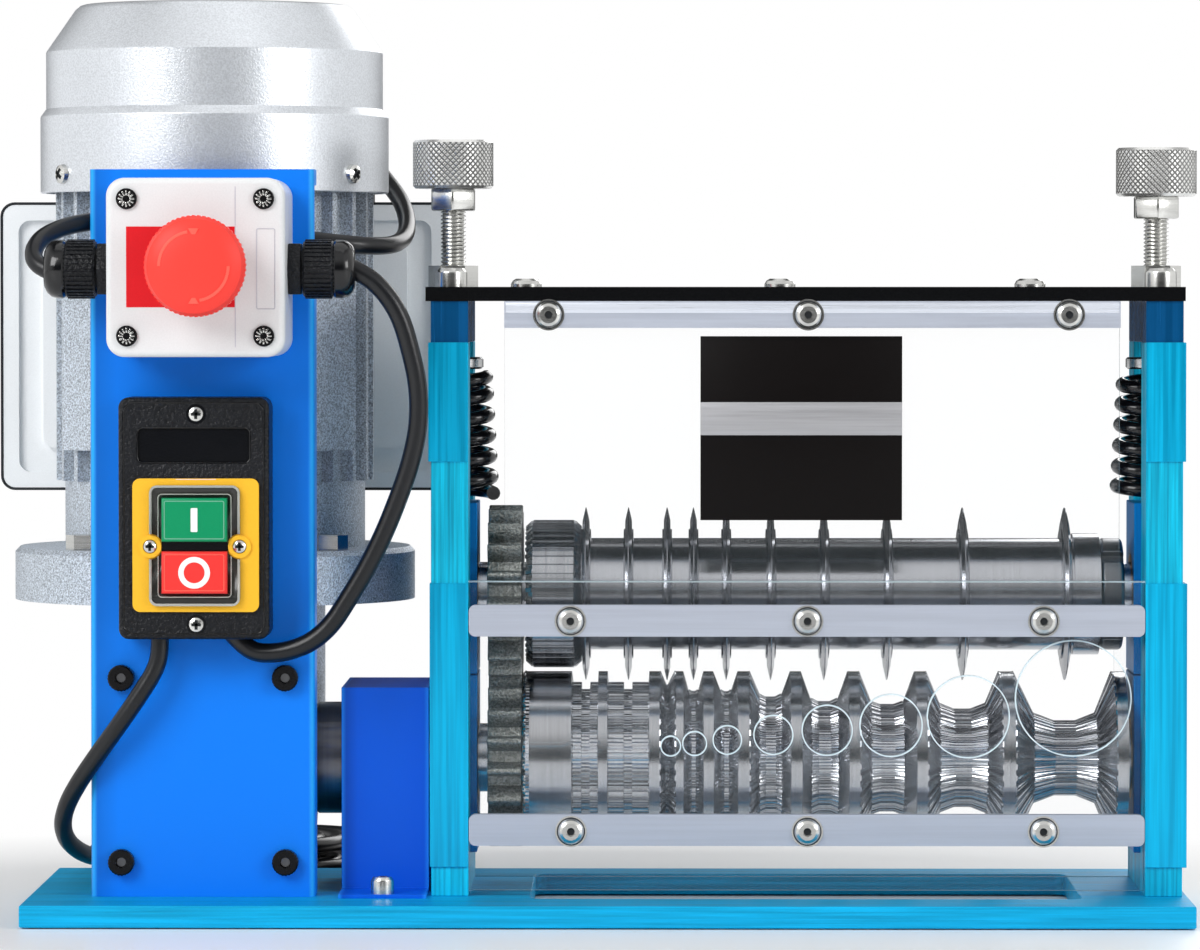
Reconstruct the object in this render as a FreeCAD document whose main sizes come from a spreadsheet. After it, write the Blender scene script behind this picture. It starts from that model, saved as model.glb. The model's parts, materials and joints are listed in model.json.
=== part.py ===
"""Bench machine that strips the jacket off scrap electric wire, in millimetres.

It is laid out about the centre of the base plate's underside, +X to the right, +Y away from the user, +Z up.
At the end every sub-part is moved so that the origin is the middle of the machine's footprint, motor included.
"""
import FreeCAD, Part
import Sketcher
import math
import os
from FreeCAD import Placement, Rotation
from FreeCAD import Vector as V

os.makedirs("parts", exist_ok=True)
doc = FreeCAD.newDocument("wire_stripper")
dims = doc.addObject("Spreadsheet::Sheet", "dims")

# Driving dimensions
SIZES = {
    "origin_x": -9.9, "origin_y": 24.4,
    "base_length": 450, "base_width": 160, "base_thick": 8.5, "base_corner": 5,
    "window_left": -30, "window_right": 183, "window_front": -50, "window_back": 57,
    "axis_y": 5, "lower_axis": 59.2, "axle_gap": 64.8, "shaft_radius": 12.5, "fit": 0.05,
    "post_thick": 14.5, "left_post_x": -68.7, "right_post_x": 208.2, "post_front": -40, "post_back": 50,
    "post_height": 215, "head_height": 16, "slot_width": 42, "slot_floor": 15,
    "plate_thick": 5.5, "plate_left": -70.7, "plate_right": 223.4,
    "block_thick": 17.2, "block_top": 152, "block_split": 85, "block_play": 0.15, "bush_radius": 16,
    "stud_radius": 5, "knob_radius": 16.25, "knob_height": 19, "nut_flats": 17,
    "spring_wire": 5.5, "spring_foot_radius": 10.4, "spring_top_radius": 7.7, "spring_shift": 5.2,
    "spring_height": 51.4, "seat_radius": 9.3, "seat_thick": 4.7, "seat_shift": 2.6,
    "gear_module": 3.5, "gear_teeth": 18, "gear_left": -47.3, "gear_width": 13.3,
    "crest_radius": 34.1, "blade_radius": 34, "blade_thick": 2.6, "spacer_radius": 22,
    "sheet_thick": 3, "clear_front": -36, "bar_thick": 5, "bar_height": 12.2, "bar_round": 2.5,
    "middle_bar": 101, "lower_bar": 19.7, "screw_radius": 2.5,
    "column_left": -200.6, "column_width": 87, "column_front": -43.5, "column_height": 282,
    "column_depth": 16, "column_bend": 3,
    "box_left": -190, "box_width": 68, "box_foot": 209.8, "box_front": -93, "box_corner": 7,
    "mushroom_radius": 19.2, "switch_left": -187.8, "switch_width": 58, "switch_foot": 109.6,
    "switch_height": 93, "switch_front": -65,
    "cover_left": -104.4, "cover_width": 34.2, "cover_height": 80, "cover_sheet": 1.5, "cover_foot": -50,
    "motor_x": -158.3, "motor_y": 45, "flange_radius": 80, "neck_radius": 60, "rib_radius": 63.6,
    "frame_radius": 58, "cowl_radius": 69.6, "cowl_upper_radius": 67.3, "cowl_top_radius": 54.1,
    "motor_shaft_radius": 7, "worm_radius": 11, "worm_gap": 40,
    "lead_radius": 3.5, "link_radius": 3.75, "cord_radius": 3.5,
    "coil_radius": 48.5, "coil_step": 9, "coil_exit_radius": 56,
}
for row, (name, value) in enumerate(SIZES.items(), 1):
    dims.set(f"A{row}", name)
    dims.set(f"B{row}", str(value))
    dims.setAlias(f"B{row}", name)
doc.recompute()


def size(name):
    """A driving dimension as the sheet gives it."""
    return float(dims.get(name))


BASE = size("base_thick")
AXIS_Y = size("axis_y")
LOWER_Z = size("lower_axis")
UPPER_Z = LOWER_Z + size("axle_gap")
X_AXIS, Y_AXIS, Z_AXIS = V(1, 0, 0), V(0, 1, 0), V(0, 0, 1)
nodes = {}


def bind(item, **formulas):
    """Bind properties to the sheet. A dollar sign stands for the sheet and __ for a dot."""
    for name, formula in formulas.items():
        item.setExpression(name.replace("__", "."), str(formula).replace("$", "dims."))
    return item


def keep(label, item):
    """Count an object of the document as a sub-part that gets a file of its own."""
    item.Label = label
    nodes[label] = item
    return item


def feature(label, shape):
    """A sub-part whose shape is made with Part's own functions."""
    item = doc.addObject("Part::Feature", label)
    item.Shape = shape
    item.Placement = Placement()
    return keep(label, item)


def origin_plane(body, role):
    """One of a body's own origin planes."""
    return next(plane for plane in body.Origin.OriginFeatures if plane.Role == role)


def new_sketch(body, name, role, offset="0"):
    """An empty sketch on an origin plane of its body, moved along the plane's normal."""
    sketch = body.newObject("Sketcher::SketchObject", name)
    sketch.AttachmentSupport = [(origin_plane(body, role), "")]
    sketch.MapMode = "FlatFace"
    bind(sketch, AttachmentOffset__Base__z=offset)
    return sketch


def add_rectangle(sketch, left, low, right, high, tag):
    """A closed rectangle whose four edges are held at formulas of the sheet."""
    corners = [V(0, 0, 0), V(10, 0, 0), V(10, 10, 0), V(0, 10, 0)]
    first = sketch.GeometryCount
    for start, end in zip(corners, corners[1:] + corners[:1]):
        sketch.addGeometry(Part.LineSegment(start, end), False)
    for side in range(4):
        after = first + (side + 1) % 4
        sketch.addConstraint(Sketcher.Constraint("Coincident", first + side, 2, after, 1))
    for side, kind in enumerate(("Horizontal", "Vertical", "Horizontal", "Vertical")):
        sketch.addConstraint(Sketcher.Constraint(kind, first + side))
    places = (("left", "DistanceX", 1, left), ("low", "DistanceY", 1, low))
    places += (("right", "DistanceX", 3, right), ("high", "DistanceY", 3, high))
    for edge, kind, corner, formula in places:
        line = first if corner == 1 else first + 2
        index = sketch.addConstraint(Sketcher.Constraint(kind, -1, 1, line, 1, 1.0 + corner))
        sketch.renameConstraint(index, f"{tag}_{edge}")
        bind(sketch, **{f"Constraints__{tag}_{edge}": formula})


def add_outline(sketch, points):
    """A closed outline of straight lines through points of the sketch's plane."""
    corners = [V(x, y, 0) for x, y in points]
    for start, end in zip(corners, corners[1:] + corners[:1]):
        sketch.addGeometry(Part.LineSegment(start, end), False)


def add_circles(sketch, centres, radius):
    """Circles of one radius round points of the sketch's plane."""
    for x, y in centres:
        sketch.addGeometry(Part.Circle(V(x, y, 0), Z_AXIS, radius), False)


def pad(body, sketch, length, reverse=False):
    """A pad of a sketch, its length bound to the sheet."""
    item = body.newObject("PartDesign::Pad", body.Name + "_pad")
    item.Profile = sketch
    item.Reversed = reverse
    bind(item, Length=length)
    body.Tip = item
    return item


def cut_through(body, sketch, name):
    """A pocket right through the body, both ways from its sketch."""
    item = body.newObject("PartDesign::Pocket", name)
    item.Profile = sketch
    item.Type = "ThroughAll"
    item.Midplane = True
    body.Tip = item
    doc.recompute()
    return item


def round_edges(body, name, edges):
    """A fillet on named edges of the body's last feature."""
    last = body.Tip
    item = body.newObject("PartDesign::Fillet", name)
    item.Base = (last, edges)
    body.Tip = item
    return item


def box(left, front, low, right, back, high):
    """A plain box between two corners."""
    return Part.makeBox(right - left, back - front, high - low, V(left, front, low))


def rounded_box(left, front, low, right, back, high, radius, along):
    """A box with its four edges along one axis rounded."""
    shape = box(left, front, low, right, back, high)
    edges = [e for e in shape.Edges if abs(e.tangentAt(e.FirstParameter).dot(along)) > 0.9]
    return shape.makeFillet(radius, edges)


def rod(radius, start, length, axis):
    """A cylinder from a point along an axis."""
    return Part.makeCylinder(radius, length, start, axis)


def turned(profile, axis_point, axis):
    """A solid of revolution from (place along the axis, radius) points."""
    side = V(0, 0, 1) if abs(axis.z) < 0.5 else V(1, 0, 0)
    points = [axis_point + axis * along + side * radius for along, radius in profile]
    face = Part.Face(Part.makePolygon(points + points[:1]))
    return face.revolve(axis_point, axis, 360)


def turned_body(label, profile, start, axis_role, along_z):
    """A PartDesign body revolved from a sketched half outline, then placed on its axis."""
    body = doc.addObject("PartDesign::Body", label)
    sketch = new_sketch(body, label + "_outline", axis_role)
    if along_z:
        add_outline(sketch, [(radius, along) for along, radius in profile])
    else:
        add_outline(sketch, list(profile))
    item = body.newObject("PartDesign::Revolution", label + "_turn")
    item.Profile = sketch
    item.ReferenceAxis = (sketch, ["V_Axis" if along_z else "H_Axis"])
    item.Angle = 360
    body.Tip = item
    body.Placement = Placement(start, Rotation())
    return keep(label, body)


def hexagon(flats, low, height, centre, axis):
    """A hexagonal prism across flats."""
    across = V(0, 0, 1) if abs(axis.z) < 0.5 else V(1, 0, 0)
    side = axis.cross(across)
    reach = flats / math.sqrt(3)
    ring = []
    for corner in range(6):
        angle = math.radians(60 * corner)
        ring.append(centre + axis * low + across * reach * math.cos(angle) + side * reach * math.sin(angle))
    return Part.Face(Part.makePolygon(ring + ring[:1])).extrude(axis * height)


def disc_profile(radius, thick, edge):
    """Half the section of a disc with bevelled rims, from its axis outwards and back."""
    flat = radius - edge
    return [(0, 0), (0, flat), (edge, radius), (thick - edge, radius), (thick, flat), (thick, 0)]


def socket_head(point, axis, radius, height, key, shank_radius, shank):
    """A socket screw: its head stands on the point along the axis, its shank goes the other way."""
    profile = [(0, 0), (0, radius), (height * 0.75, radius), (height, radius * 0.8), (height, 0)]
    head = turned(profile, point, axis)
    head = head.cut(hexagon(key, height * 0.45, height, point, axis))
    return head.fuse(rod(shank_radius, point, shank, axis * -1)).removeSplitter()


def raised_screw(point, axis, radius, height):
    """The domed head of a cross-recessed screw, standing on the point."""
    profile = [(0, 0), (0, radius), (height * 0.6, radius * 0.9), (height * 0.95, radius * 0.5), (height, 0)]
    return turned(profile, point, axis)


def arc_through(start, tangent, end):
    """The arc from start to end that leaves start along the tangent."""
    chord = end - start
    unit = V(chord).normalize()
    cosine = max(-1.0, min(1.0, tangent.dot(unit)))
    middle_way = (tangent + unit).normalize()
    reach = chord.Length / (2 * math.cos(math.acos(cosine) / 2))
    return Part.Arc(start, start + middle_way * reach, end).toShape()


def biarc(start, leave, end, arrive):
    """Two tangent arcs from start to end with the given directions at both ends."""
    across = end - start
    both = leave + arrive
    square = 2 * (1 - leave.dot(arrive))
    along = across.dot(both)
    if square < 1e-9:
        return [Part.LineSegment(start, end).toShape()]
    reach = (math.sqrt(along * along + square * across.dot(across)) - along) / square
    join = (start + leave * reach + end - arrive * reach) * 0.5
    back = arc_through(end, arrive * -1, join)
    return [arc_through(start, leave, join), back]


def swept(edges, radius):
    """A round tube of one radius along tangent edges."""
    path = Part.Wire(Part.__sortEdges__(edges))
    first = path.OrderedEdges[0]
    start = first.firstVertex(True).Point
    tangent = first.tangentAt(first.FirstParameter)
    if first.Orientation == "Reversed":
        tangent = first.tangentAt(first.LastParameter) * -1
    section = Part.Wire(Part.makeCircle(radius, start, tangent))
    shell = Part.BRepOffsetAPI.MakePipeShell(path)
    shell.add(section)
    shell.build()
    shell.makeSolid()
    solid = shell.shape()
    print(f"  tube volume {solid.Volume:.0f}, section by length {math.pi * radius**2 * path.Length:.0f}")
    return solid, path


def least_gap(path, radius, apart):
    """The least gap between a tube's turns, on points at least some arc length apart."""
    points = path.discretize(Number=900)
    step = path.Length / 899
    skip = int(apart / step) + 1
    best = 1e9
    for i in range(0, 900, 2):
        for j in range(i + skip, 900, 2):
            best = min(best, (points[i] - points[j]).Length)
    return best - 2 * radius


def cord_tube(label, route, radius, inside=()):
    """A cord of straight runs joined by tangent arcs as large as they allow, cut off inside the named nodes."""
    points = [V(*p) for p in route]
    edges, last, radii = [], points[0], []
    for before, corner, after in zip(points, points[1:], points[2:]):
        back, ahead = before - corner, after - corner
        half_turn = (math.pi - back.getAngle(ahead)) / 2
        setback = 0.45 * min(back.Length, ahead.Length)
        radii.append(setback / math.tan(half_turn))
        enter = corner + V(back).normalize() * setback
        leave = corner + V(ahead).normalize() * setback
        edges.append(Part.LineSegment(last, enter).toShape())
        edges.append(arc_through(enter, V(back).normalize() * -1, leave))
        last = leave
    edges.append(Part.LineSegment(last, points[-1]).toShape())
    solid, path = swept(edges, radius)
    text = ", ".join(f"{r:.0f}" for r in radii)
    print(f"{label}: length {path.Length:.0f}, radii {text}")
    for name in inside:
        pieces = solid.cut(nodes[name].Shape).Solids
        solid = max(pieces, key=lambda piece: piece.Volume)
    return feature(label, solid)


# Base plate with its chip window
base = doc.addObject("PartDesign::Body", "base_plate")
outline = new_sketch(base, "base_outline", "XY_Plane")
add_rectangle(outline, "-$base_length / 2", "-$base_width / 2", "$base_length / 2", "$base_width / 2", "edge")
add_rectangle(outline, "$window_left", "$window_front", "$window_right", "$window_back", "hole")
pad(base, outline, "$base_thick")
doc.recompute()
inner = []
for number, edge in enumerate(base.Shape.Edges, 1):
    middle = edge.CenterOfMass
    upright = abs(edge.tangentAt(edge.FirstParameter).z) > 0.9
    if upright and abs(middle.x) < size("base_length") / 2 - 1:
        inner.append(f"Edge{number}")
bind(round_edges(base, "window_corners", inner), Radius="$base_corner")
keep("base_plate", base)


def post(label, side_x):
    """A slotted side plate: two legs with a slot for the sliding bearing block."""
    body = doc.addObject("PartDesign::Body", label)
    face = new_sketch(body, label + "_face", "YZ_Plane", side_x)
    slot_front = "$axis_y - $slot_width / 2"
    slot_back = "$axis_y + $slot_width / 2"
    top = "$base_thick + $post_height"
    add_rectangle(face, "$post_front", "$base_thick", "$post_back", top, "edge")
    pad(body, face, "$post_thick")
    doc.recompute()
    slot = new_sketch(body, label + "_slot", "YZ_Plane", side_x)
    add_rectangle(slot, slot_front, "$base_thick + $slot_floor", slot_back, top + " + 5", "slot")
    cut_through(body, slot, label + "_slot_cut")
    return keep(label, body)


post("left_post", "$left_post_x")
post("right_post", "$right_post_x")

POST_X = {"left": size("left_post_x"), "right": size("right_post_x")}
INWARD = {"left": 1, "right": -1}
THICK = size("post_thick")
HEAD_FOOT = BASE + size("post_height")
HEAD_TOP = HEAD_FOOT + size("head_height")
PLATE_TOP = HEAD_TOP + size("plate_thick")
STUD_R = size("stud_radius")
SCREW_R = size("screw_radius")
FIT = size("fit")
CAP_R, CAP_Y = 3.3, -18


def stud_axis(side):
    """Where a pressure screw stands, on the middle plane of its post."""
    return V(POST_X[side] + THICK / 2, AXIS_Y, 0)


def both_sides(label, make):
    """One node that holds the left and the right copy of a piece."""
    return feature(label, Part.makeCompound([make("left"), make("right")]))


def head_block(side):
    """The block that closes a post's slot at the top and holds the pressure screw."""
    x = POST_X[side]
    shape = box(x, size("post_front"), HEAD_FOOT, x + THICK, size("post_back"), HEAD_TOP)
    hole = rod(STUD_R + FIT, stud_axis(side) + Z_AXIS * (HEAD_FOOT - 1), 20, Z_AXIS)
    cap_hole = rod(CAP_R + FIT, V(x + THICK / 2, CAP_Y, HEAD_FOOT - 1), 20, Z_AXIS)
    return shape.cut(hole).cut(cap_hole)


both_sides("head_blocks", head_block)

SLEEVE_FOOT = BASE + 168.8
SLEEVE_SHEET = 1.0
STRIP_FOOT, STRIP_TOP, STRIP_WING = BASE + 11.4, BASE + 121.6, 1.6


def angle_strip(side, low, high, wing, depth):
    """A folded strip of sheet on the front and the outer side of a post."""
    x, front = POST_X[side], size("post_front")
    inner, outer = (x + THICK, x) if side == "left" else (x, x + THICK)
    past = outer - INWARD[side] * wing
    face = box(min(inner, past), front - SLEEVE_SHEET, low, max(inner, past), front, high)
    flank = box(min(outer, past), front, low, max(outer, past), front + depth, high)
    return face.fuse(flank).removeSplitter()


def post_sleeve(side):
    """The polished sleeve below a post's head and the plainer strip over its lower half."""
    sleeve = angle_strip(side, SLEEVE_FOOT, HEAD_FOOT, SLEEVE_SHEET, 22)
    strip = angle_strip(side, STRIP_FOOT, STRIP_TOP, 0.5 if side == "left" else STRIP_WING, 14)
    return Part.makeCompound([sleeve, strip])


both_sides("post_sleeves", post_sleeve)

plate = doc.addObject("PartDesign::Body", "top_plate")
plate_face = new_sketch(plate, "top_plate_face", "XY_Plane", "$base_thick + $post_height + $head_height")
add_rectangle(plate_face, "$plate_left", "$post_front - 1", "$plate_right", "$post_back + 1", "edge")
pad(plate, plate_face, "$plate_thick")
doc.recompute()
holes = new_sketch(plate, "top_plate_holes", "XY_Plane", "$base_thick + $post_height + $head_height")
TOP_SCREWS = [(x, -30.0) for x in (-31.9, 66.7, 163.8)]
add_circles(holes, [(stud_axis(side).x, AXIS_Y) for side in POST_X], STUD_R + 0.5)
add_circles(holes, [(stud_axis(side).x, CAP_Y) for side in POST_X], CAP_R + FIT)
add_circles(holes, TOP_SCREWS, SCREW_R + FIT)
cut_through(plate, holes, "top_plate_hole_cut")
keep("top_plate", plate)

# Bearing blocks in the slots
BLOCK_SPLIT = BASE + size("block_split")
BLOCK_TOP = BASE + size("block_top")
BUSH_R = size("bush_radius")
SHAFT_R = size("shaft_radius")


def block_span(side):
    """A bearing block's two faces along X; it stands out of its post on the inner side."""
    if side == "left":
        return POST_X[side], POST_X[side] + size("block_thick")
    return POST_X[side] + THICK - size("block_thick"), POST_X[side] + THICK


def bearing_block(side, low, high, axis_z, play):
    """A block with the bore of its bush."""
    left, right = block_span(side)
    half = size("slot_width") / 2 - play
    shape = box(left, AXIS_Y - half, low, right, AXIS_Y + half, high)
    return shape.cut(rod(BUSH_R, V(left - 1, AXIS_Y, axis_z), right - left + 2, X_AXIS))


def bearing_bush(side, axis_z):
    """A plain bronze bush with a running fit on the shaft."""
    left, right = block_span(side)
    ring = rod(BUSH_R, V(left, AXIS_Y, axis_z), right - left, X_AXIS)
    return ring.cut(rod(SHAFT_R + FIT, V(left - 1, AXIS_Y, axis_z), right - left + 2, X_AXIS))


both_sides("lower_blocks", lambda s: bearing_block(s, BASE + size("slot_floor"), BLOCK_SPLIT - 0.4, LOWER_Z, 0))
both_sides("lower_bushes", lambda s: bearing_bush(s, LOWER_Z))
both_sides("upper_blocks", lambda s: bearing_block(s, BLOCK_SPLIT, BLOCK_TOP, UPPER_Z, size("block_play")))
both_sides("upper_bushes", lambda s: bearing_bush(s, UPPER_Z))

# Pressure springs and their adjusting screws
SEAT_FOOT = BLOCK_TOP + size("spring_height") + 0.8
SEAT_TOP = SEAT_FOOT + size("seat_thick")
CLOSED_STEP, CLOSED_TURNS, OPEN_TURNS = 6.1, 0.75, 4.5


def spring_height_at(turn, total_rise):
    """Height of the wire's middle after some turns, with a closed turn at each end."""
    end_rise = CLOSED_STEP * CLOSED_TURNS
    open_rise = total_rise - 2 * end_rise
    if turn <= CLOSED_TURNS:
        return CLOSED_STEP * turn
    if turn <= CLOSED_TURNS + OPEN_TURNS:
        return end_rise + open_rise * (turn - CLOSED_TURNS) / OPEN_TURNS
    return end_rise + open_rise + CLOSED_STEP * (turn - CLOSED_TURNS - OPEN_TURNS)


def spring(side):
    """A tapered pressure spring between a bearing block and its seat."""
    wire = size("spring_wire") / 2
    rise = size("spring_height") - 2 * wire
    turns = 2 * CLOSED_TURNS + OPEN_TURNS
    centre = stud_axis(side) + X_AXIS * INWARD[side] * size("spring_shift")
    taper = (size("spring_top_radius") - size("spring_foot_radius")) / turns

    def point(turn):
        angle = 2 * math.pi * turn * INWARD[side]
        radius = size("spring_foot_radius") + taper * turn
        height = BLOCK_TOP + 0.4 + wire + spring_height_at(turn, rise)
        return centre + V(radius * math.cos(angle), radius * math.sin(angle), height)

    def heading(turn):
        return (point(min(turn + 0.001, turns)) - point(max(turn - 0.001, 0))).normalize()

    edges = []
    quarters = round(turns * 4)
    for quarter in range(quarters):
        here, there = quarter / 4, (quarter + 1) / 4
        edges += biarc(point(here), heading(here), point(there), heading(there))
    solid, path = swept(edges, wire)
    print(f"{side} spring: least gap to itself {least_gap(path, wire, 25):.2f}")
    return feature(side + "_spring", solid)


spring("left")
spring("right")


def seat(side):
    """The disc that the screw presses on the spring."""
    centre = stud_axis(side) + X_AXIS * INWARD[side] * size("seat_shift")
    profile = disc_profile(size("seat_radius"), size("seat_thick"), 0.8)
    return feature(side + "_seat", turned(profile, centre + Z_AXIS * SEAT_FOOT, Z_AXIS))


KNOB_FOOT = {"left": 283.8, "right": 280.7}
KNOB_NUT_HEIGHT = 8.8


def adjusting_screw(side):
    """A threaded stud with the hexagon nut that is locked under the knob."""
    axis = stud_axis(side)
    foot = KNOB_FOOT[side]
    stud = rod(STUD_R, axis + Z_AXIS * (SEAT_TOP + 0.1), foot - SEAT_TOP - 0.1, Z_AXIS)
    nut = hexagon(size("nut_flats"), foot - KNOB_NUT_HEIGHT, KNOB_NUT_HEIGHT, axis, Z_AXIS)
    return feature(side + "_stud", stud.fuse(nut).removeSplitter())


def knob(side):
    """A knurled hand knob with bevelled edges."""
    profile = disc_profile(size("knob_radius"), size("knob_height"), 1.5)
    start = stud_axis(side) + Z_AXIS * KNOB_FOOT[side]
    return turned_body(side + "_knob", profile, start, "XZ_Plane", True)


for side in POST_X:
    seat(side)
    adjusting_screw(side)
    knob(side)


def involute_gear(label, axis_z, phase, clear):
    """A spur gear of the sheet's module and tooth count, its flanks arcs through involute points."""
    module, teeth = size("gear_module"), int(size("gear_teeth"))
    pressure = math.radians(20)
    pitch = module * teeth / 2
    root, base_circle, tip = pitch - 1.25 * module, pitch * math.cos(pressure), pitch + module

    def flank_angle(radius):
        pressure_here = math.acos(min(1.0, base_circle / radius))
        return math.tan(pressure_here) - pressure_here

    half_tooth = math.pi / (2 * teeth) + flank_angle(pitch) - 0.012
    start_radius = max(root + 0.3, base_circle)
    centre = V(size("gear_left"), AXIS_Y, axis_z)

    def at(radius, angle):
        return centre + V(0, radius * math.cos(angle), radius * math.sin(angle))

    edges = []
    for tooth in range(teeth):
        middle = 2 * math.pi * (tooth + phase) / teeth
        after = 2 * math.pi * (tooth + 1 + phase) / teeth
        mean = (start_radius + tip) / 2
        spread = [half_tooth - flank_angle(r) for r in (start_radius, mean, tip)]
        radii = (start_radius, mean, tip)
        rising = [at(r, middle - s) for r, s in zip(radii, spread)]
        falling = [at(r, middle + s) for r, s in zip(radii, spread)]
        edges.append(Part.LineSegment(at(root, middle - half_tooth), rising[0]).toShape())
        edges.append(Part.Arc(*rising).toShape())
        edges.append(Part.Arc(rising[2], at(tip, middle), falling[2]).toShape())
        edges.append(Part.Arc(*reversed(falling)).toShape())
        edges.append(Part.LineSegment(falling[0], at(root, middle + half_tooth)).toShape())
        valley = at(root, (middle + after) / 2)
        edges.append(Part.Arc(at(root, middle + half_tooth), valley, at(root, after - half_tooth)).toShape())
    face = Part.Face(Part.Wire(Part.__sortEdges__(edges)))
    solid = face.extrude(X_AXIS * size("gear_width"))
    return feature(label, solid.cut(rod(clear, centre - X_AXIS, size("gear_width") + 2, X_AXIS)))


ON_SHAFT = SHAFT_R + 0.02
involute_gear("lower_gear", LOWER_Z, 0.25, ON_SHAFT)
involute_gear("upper_gear", UPPER_Z, 0.25, ON_SHAFT)

# Lower shaft and the grooved roller
SHAFT_LEFT, SHAFT_RIGHT = -95.5, 223.0
SHOULDER_LEFT, SHOULDER_RIGHT, SHOULDER_R = -51.0, -47.6, 13.5
shaft_profile = [
    (0, 0), (0, SHAFT_R - 1), (1, SHAFT_R), (SHOULDER_LEFT - SHAFT_LEFT, SHAFT_R),
    (SHOULDER_LEFT - SHAFT_LEFT, SHOULDER_R), (SHOULDER_RIGHT - SHAFT_LEFT, SHOULDER_R),
    (SHOULDER_RIGHT - SHAFT_LEFT, SHAFT_R), (SHAFT_RIGHT - SHAFT_LEFT - 1, SHAFT_R),
    (SHAFT_RIGHT - SHAFT_LEFT, SHAFT_R - 1), (SHAFT_RIGHT - SHAFT_LEFT, 0),
]
turned_body("lower_shaft", shaft_profile, V(SHAFT_LEFT, AXIS_Y, LOWER_Z), "XY_Plane", False)

CREST = size("crest_radius")
RING_R, DIP_R = 29.6, 26.8
# Each groove is (left wall top, left floor, dip left, dip right, right floor, right wall top, floor, dip)
GROOVES = (
    (19.9, 22.2, 22.9, 22.9, 23.6, 26.4, 28.9, 28.3),
    (29.3, 31.4, 32.4, 34.2, 35.2, 37.2, 26.9, 26.1),
    (41.1, 44.0, 45.2, 47.2, 48.2, 50.7, 26.9, 26.0),
    (55.0, 59.0, 61.6, 65.6, 68.0, 71.4, 25.2, 23.9),
    (75.7, 79.6, 82.4, 87.2, 90.2, 94.1, 23.5, 22.1),
    (98.2, 103.0, 106.8, 112.4, 116.0, 120.5, 22.3, 21.0),
    (124.6, 130.0, 136.0, 142.6, 148.8, 154.2, 21.6, 19.2),
    (158.9, 167.0, 175.4, 184.0, 192.0, 198.7, 17.8, 14.6),
)
ROLLER_LEFT, ROLLER_RIGHT = -33.4, 203.0
roller_profile = [
    (ROLLER_LEFT, ON_SHAFT), (ROLLER_LEFT, CREST - 1), (ROLLER_LEFT + 1, CREST), (-14.6, CREST), (-14.0, RING_R),
    (-10.7, RING_R), (-10.7, DIP_R), (-7.4, DIP_R), (-7.4, RING_R), (-4.4, RING_R), (-4.1, CREST),
    (-0.5, CREST), (-0.1, RING_R), (5.9, RING_R), (5.9, DIP_R), (9.2, DIP_R), (9.2, RING_R), (15.5, RING_R),
    (15.9, CREST),
]
for wall_left, floor_left, dip_left, dip_right, floor_right, wall_right, floor, dip in GROOVES:
    roller_profile += [(wall_left, CREST), (floor_left, floor), (dip_left, dip)]
    if dip_right > dip_left:
        roller_profile.append((dip_right, dip))
    roller_profile += [(floor_right, floor), (wall_right, CREST)]
roller_profile += [(ROLLER_RIGHT, CREST), (ROLLER_RIGHT, ON_SHAFT)]
roller_profile = [(along - ROLLER_LEFT, radius) for along, radius in roller_profile]
turned_body("grooved_roller", roller_profile, V(ROLLER_LEFT, AXIS_Y, LOWER_Z), "XY_Plane", False)

# Upper shaft with its drum, blades and spacers
turned_body("upper_shaft", [
    (0, 0), (0, SHAFT_R - 1), (1, SHAFT_R), (289.5, SHAFT_R), (290.5, SHAFT_R - 1), (290.5, 0),
], V(-68.2, AXIS_Y, UPPER_Z), "XY_Plane", False)
DRUM_R = 29.15
turned_body("feed_drum", [
    (0, ON_SHAFT), (0, DRUM_R - 2.5), (2.5, DRUM_R), (18.6, DRUM_R), (21.1, DRUM_R - 2.5), (21.1, ON_SHAFT),
], V(-32.3, AXIS_Y, UPPER_Z), "XY_Plane", False)

BLADE_PLACES = (-9.1, 7.7, 22.9, 33.3, 46.2, 63.7, 84.7, 109.5, 139.3, 179.6)
BLADE_T = size("blade_thick")
HUB_R, HUB_T = 25.5, 0.6


def blade(place):
    """A round blade bevelled to its edge, with a thin hub ring on each face."""
    rim, half = size("blade_radius"), BLADE_T / 2
    profile = [
        (-half - HUB_T, ON_SHAFT), (-half - HUB_T, HUB_R), (-half, HUB_R), (-half, rim - 5), (-0.15, rim),
        (0.15, rim), (half, rim - 5), (half, HUB_R), (half + HUB_T, HUB_R), (half + HUB_T, ON_SHAFT),
    ]
    return turned(profile, V(place, AXIS_Y, UPPER_Z), X_AXIS)


feature("cutting_blades", Part.makeCompound([blade(place) for place in BLADE_PLACES]))


def spacer_rings():
    """The sleeves between the drum, the blades and the end collar."""
    half = BLADE_T / 2 + HUB_T
    starts = [-11.2] + [place + half for place in BLADE_PLACES]
    ends = [place - half for place in BLADE_PLACES] + [192.7]
    radius, collar_radius, collar_start = size("spacer_radius"), 23.9, 182.5
    rings = []
    for start, end in zip(starts, ends):
        wide = end - start
        if wide < 0.6:
            continue
        profile = [(0, ON_SHAFT), (0, radius), (wide, radius), (wide, ON_SHAFT)]
        if end > collar_start:
            collar = collar_start - start
            profile[2:3] = [(collar, radius), (collar, collar_radius), (wide, collar_radius)]
        rings.append(turned(profile, V(start, AXIS_Y, UPPER_Z), X_AXIS))
    return Part.makeCompound(rings)


feature("blade_spacers", spacer_rings())
nut_profile = [(0, ON_SHAFT), (0, 21), (1, 22), (8, 22), (9, 21), (9, ON_SHAFT)]
nut_ring = turned(nut_profile, V(193, AXIS_Y, UPPER_Z), X_AXIS)
for notch in range(4):
    slot = box(192, AXIS_Y - 2.5, UPPER_Z + 19, 203, AXIS_Y + 2.5, UPPER_Z + 25)
    slot.rotate(V(0, AXIS_Y, UPPER_Z), X_AXIS, 90 * notch + 45)
    nut_ring = nut_ring.cut(slot)
feature("end_nut", nut_ring)

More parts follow.
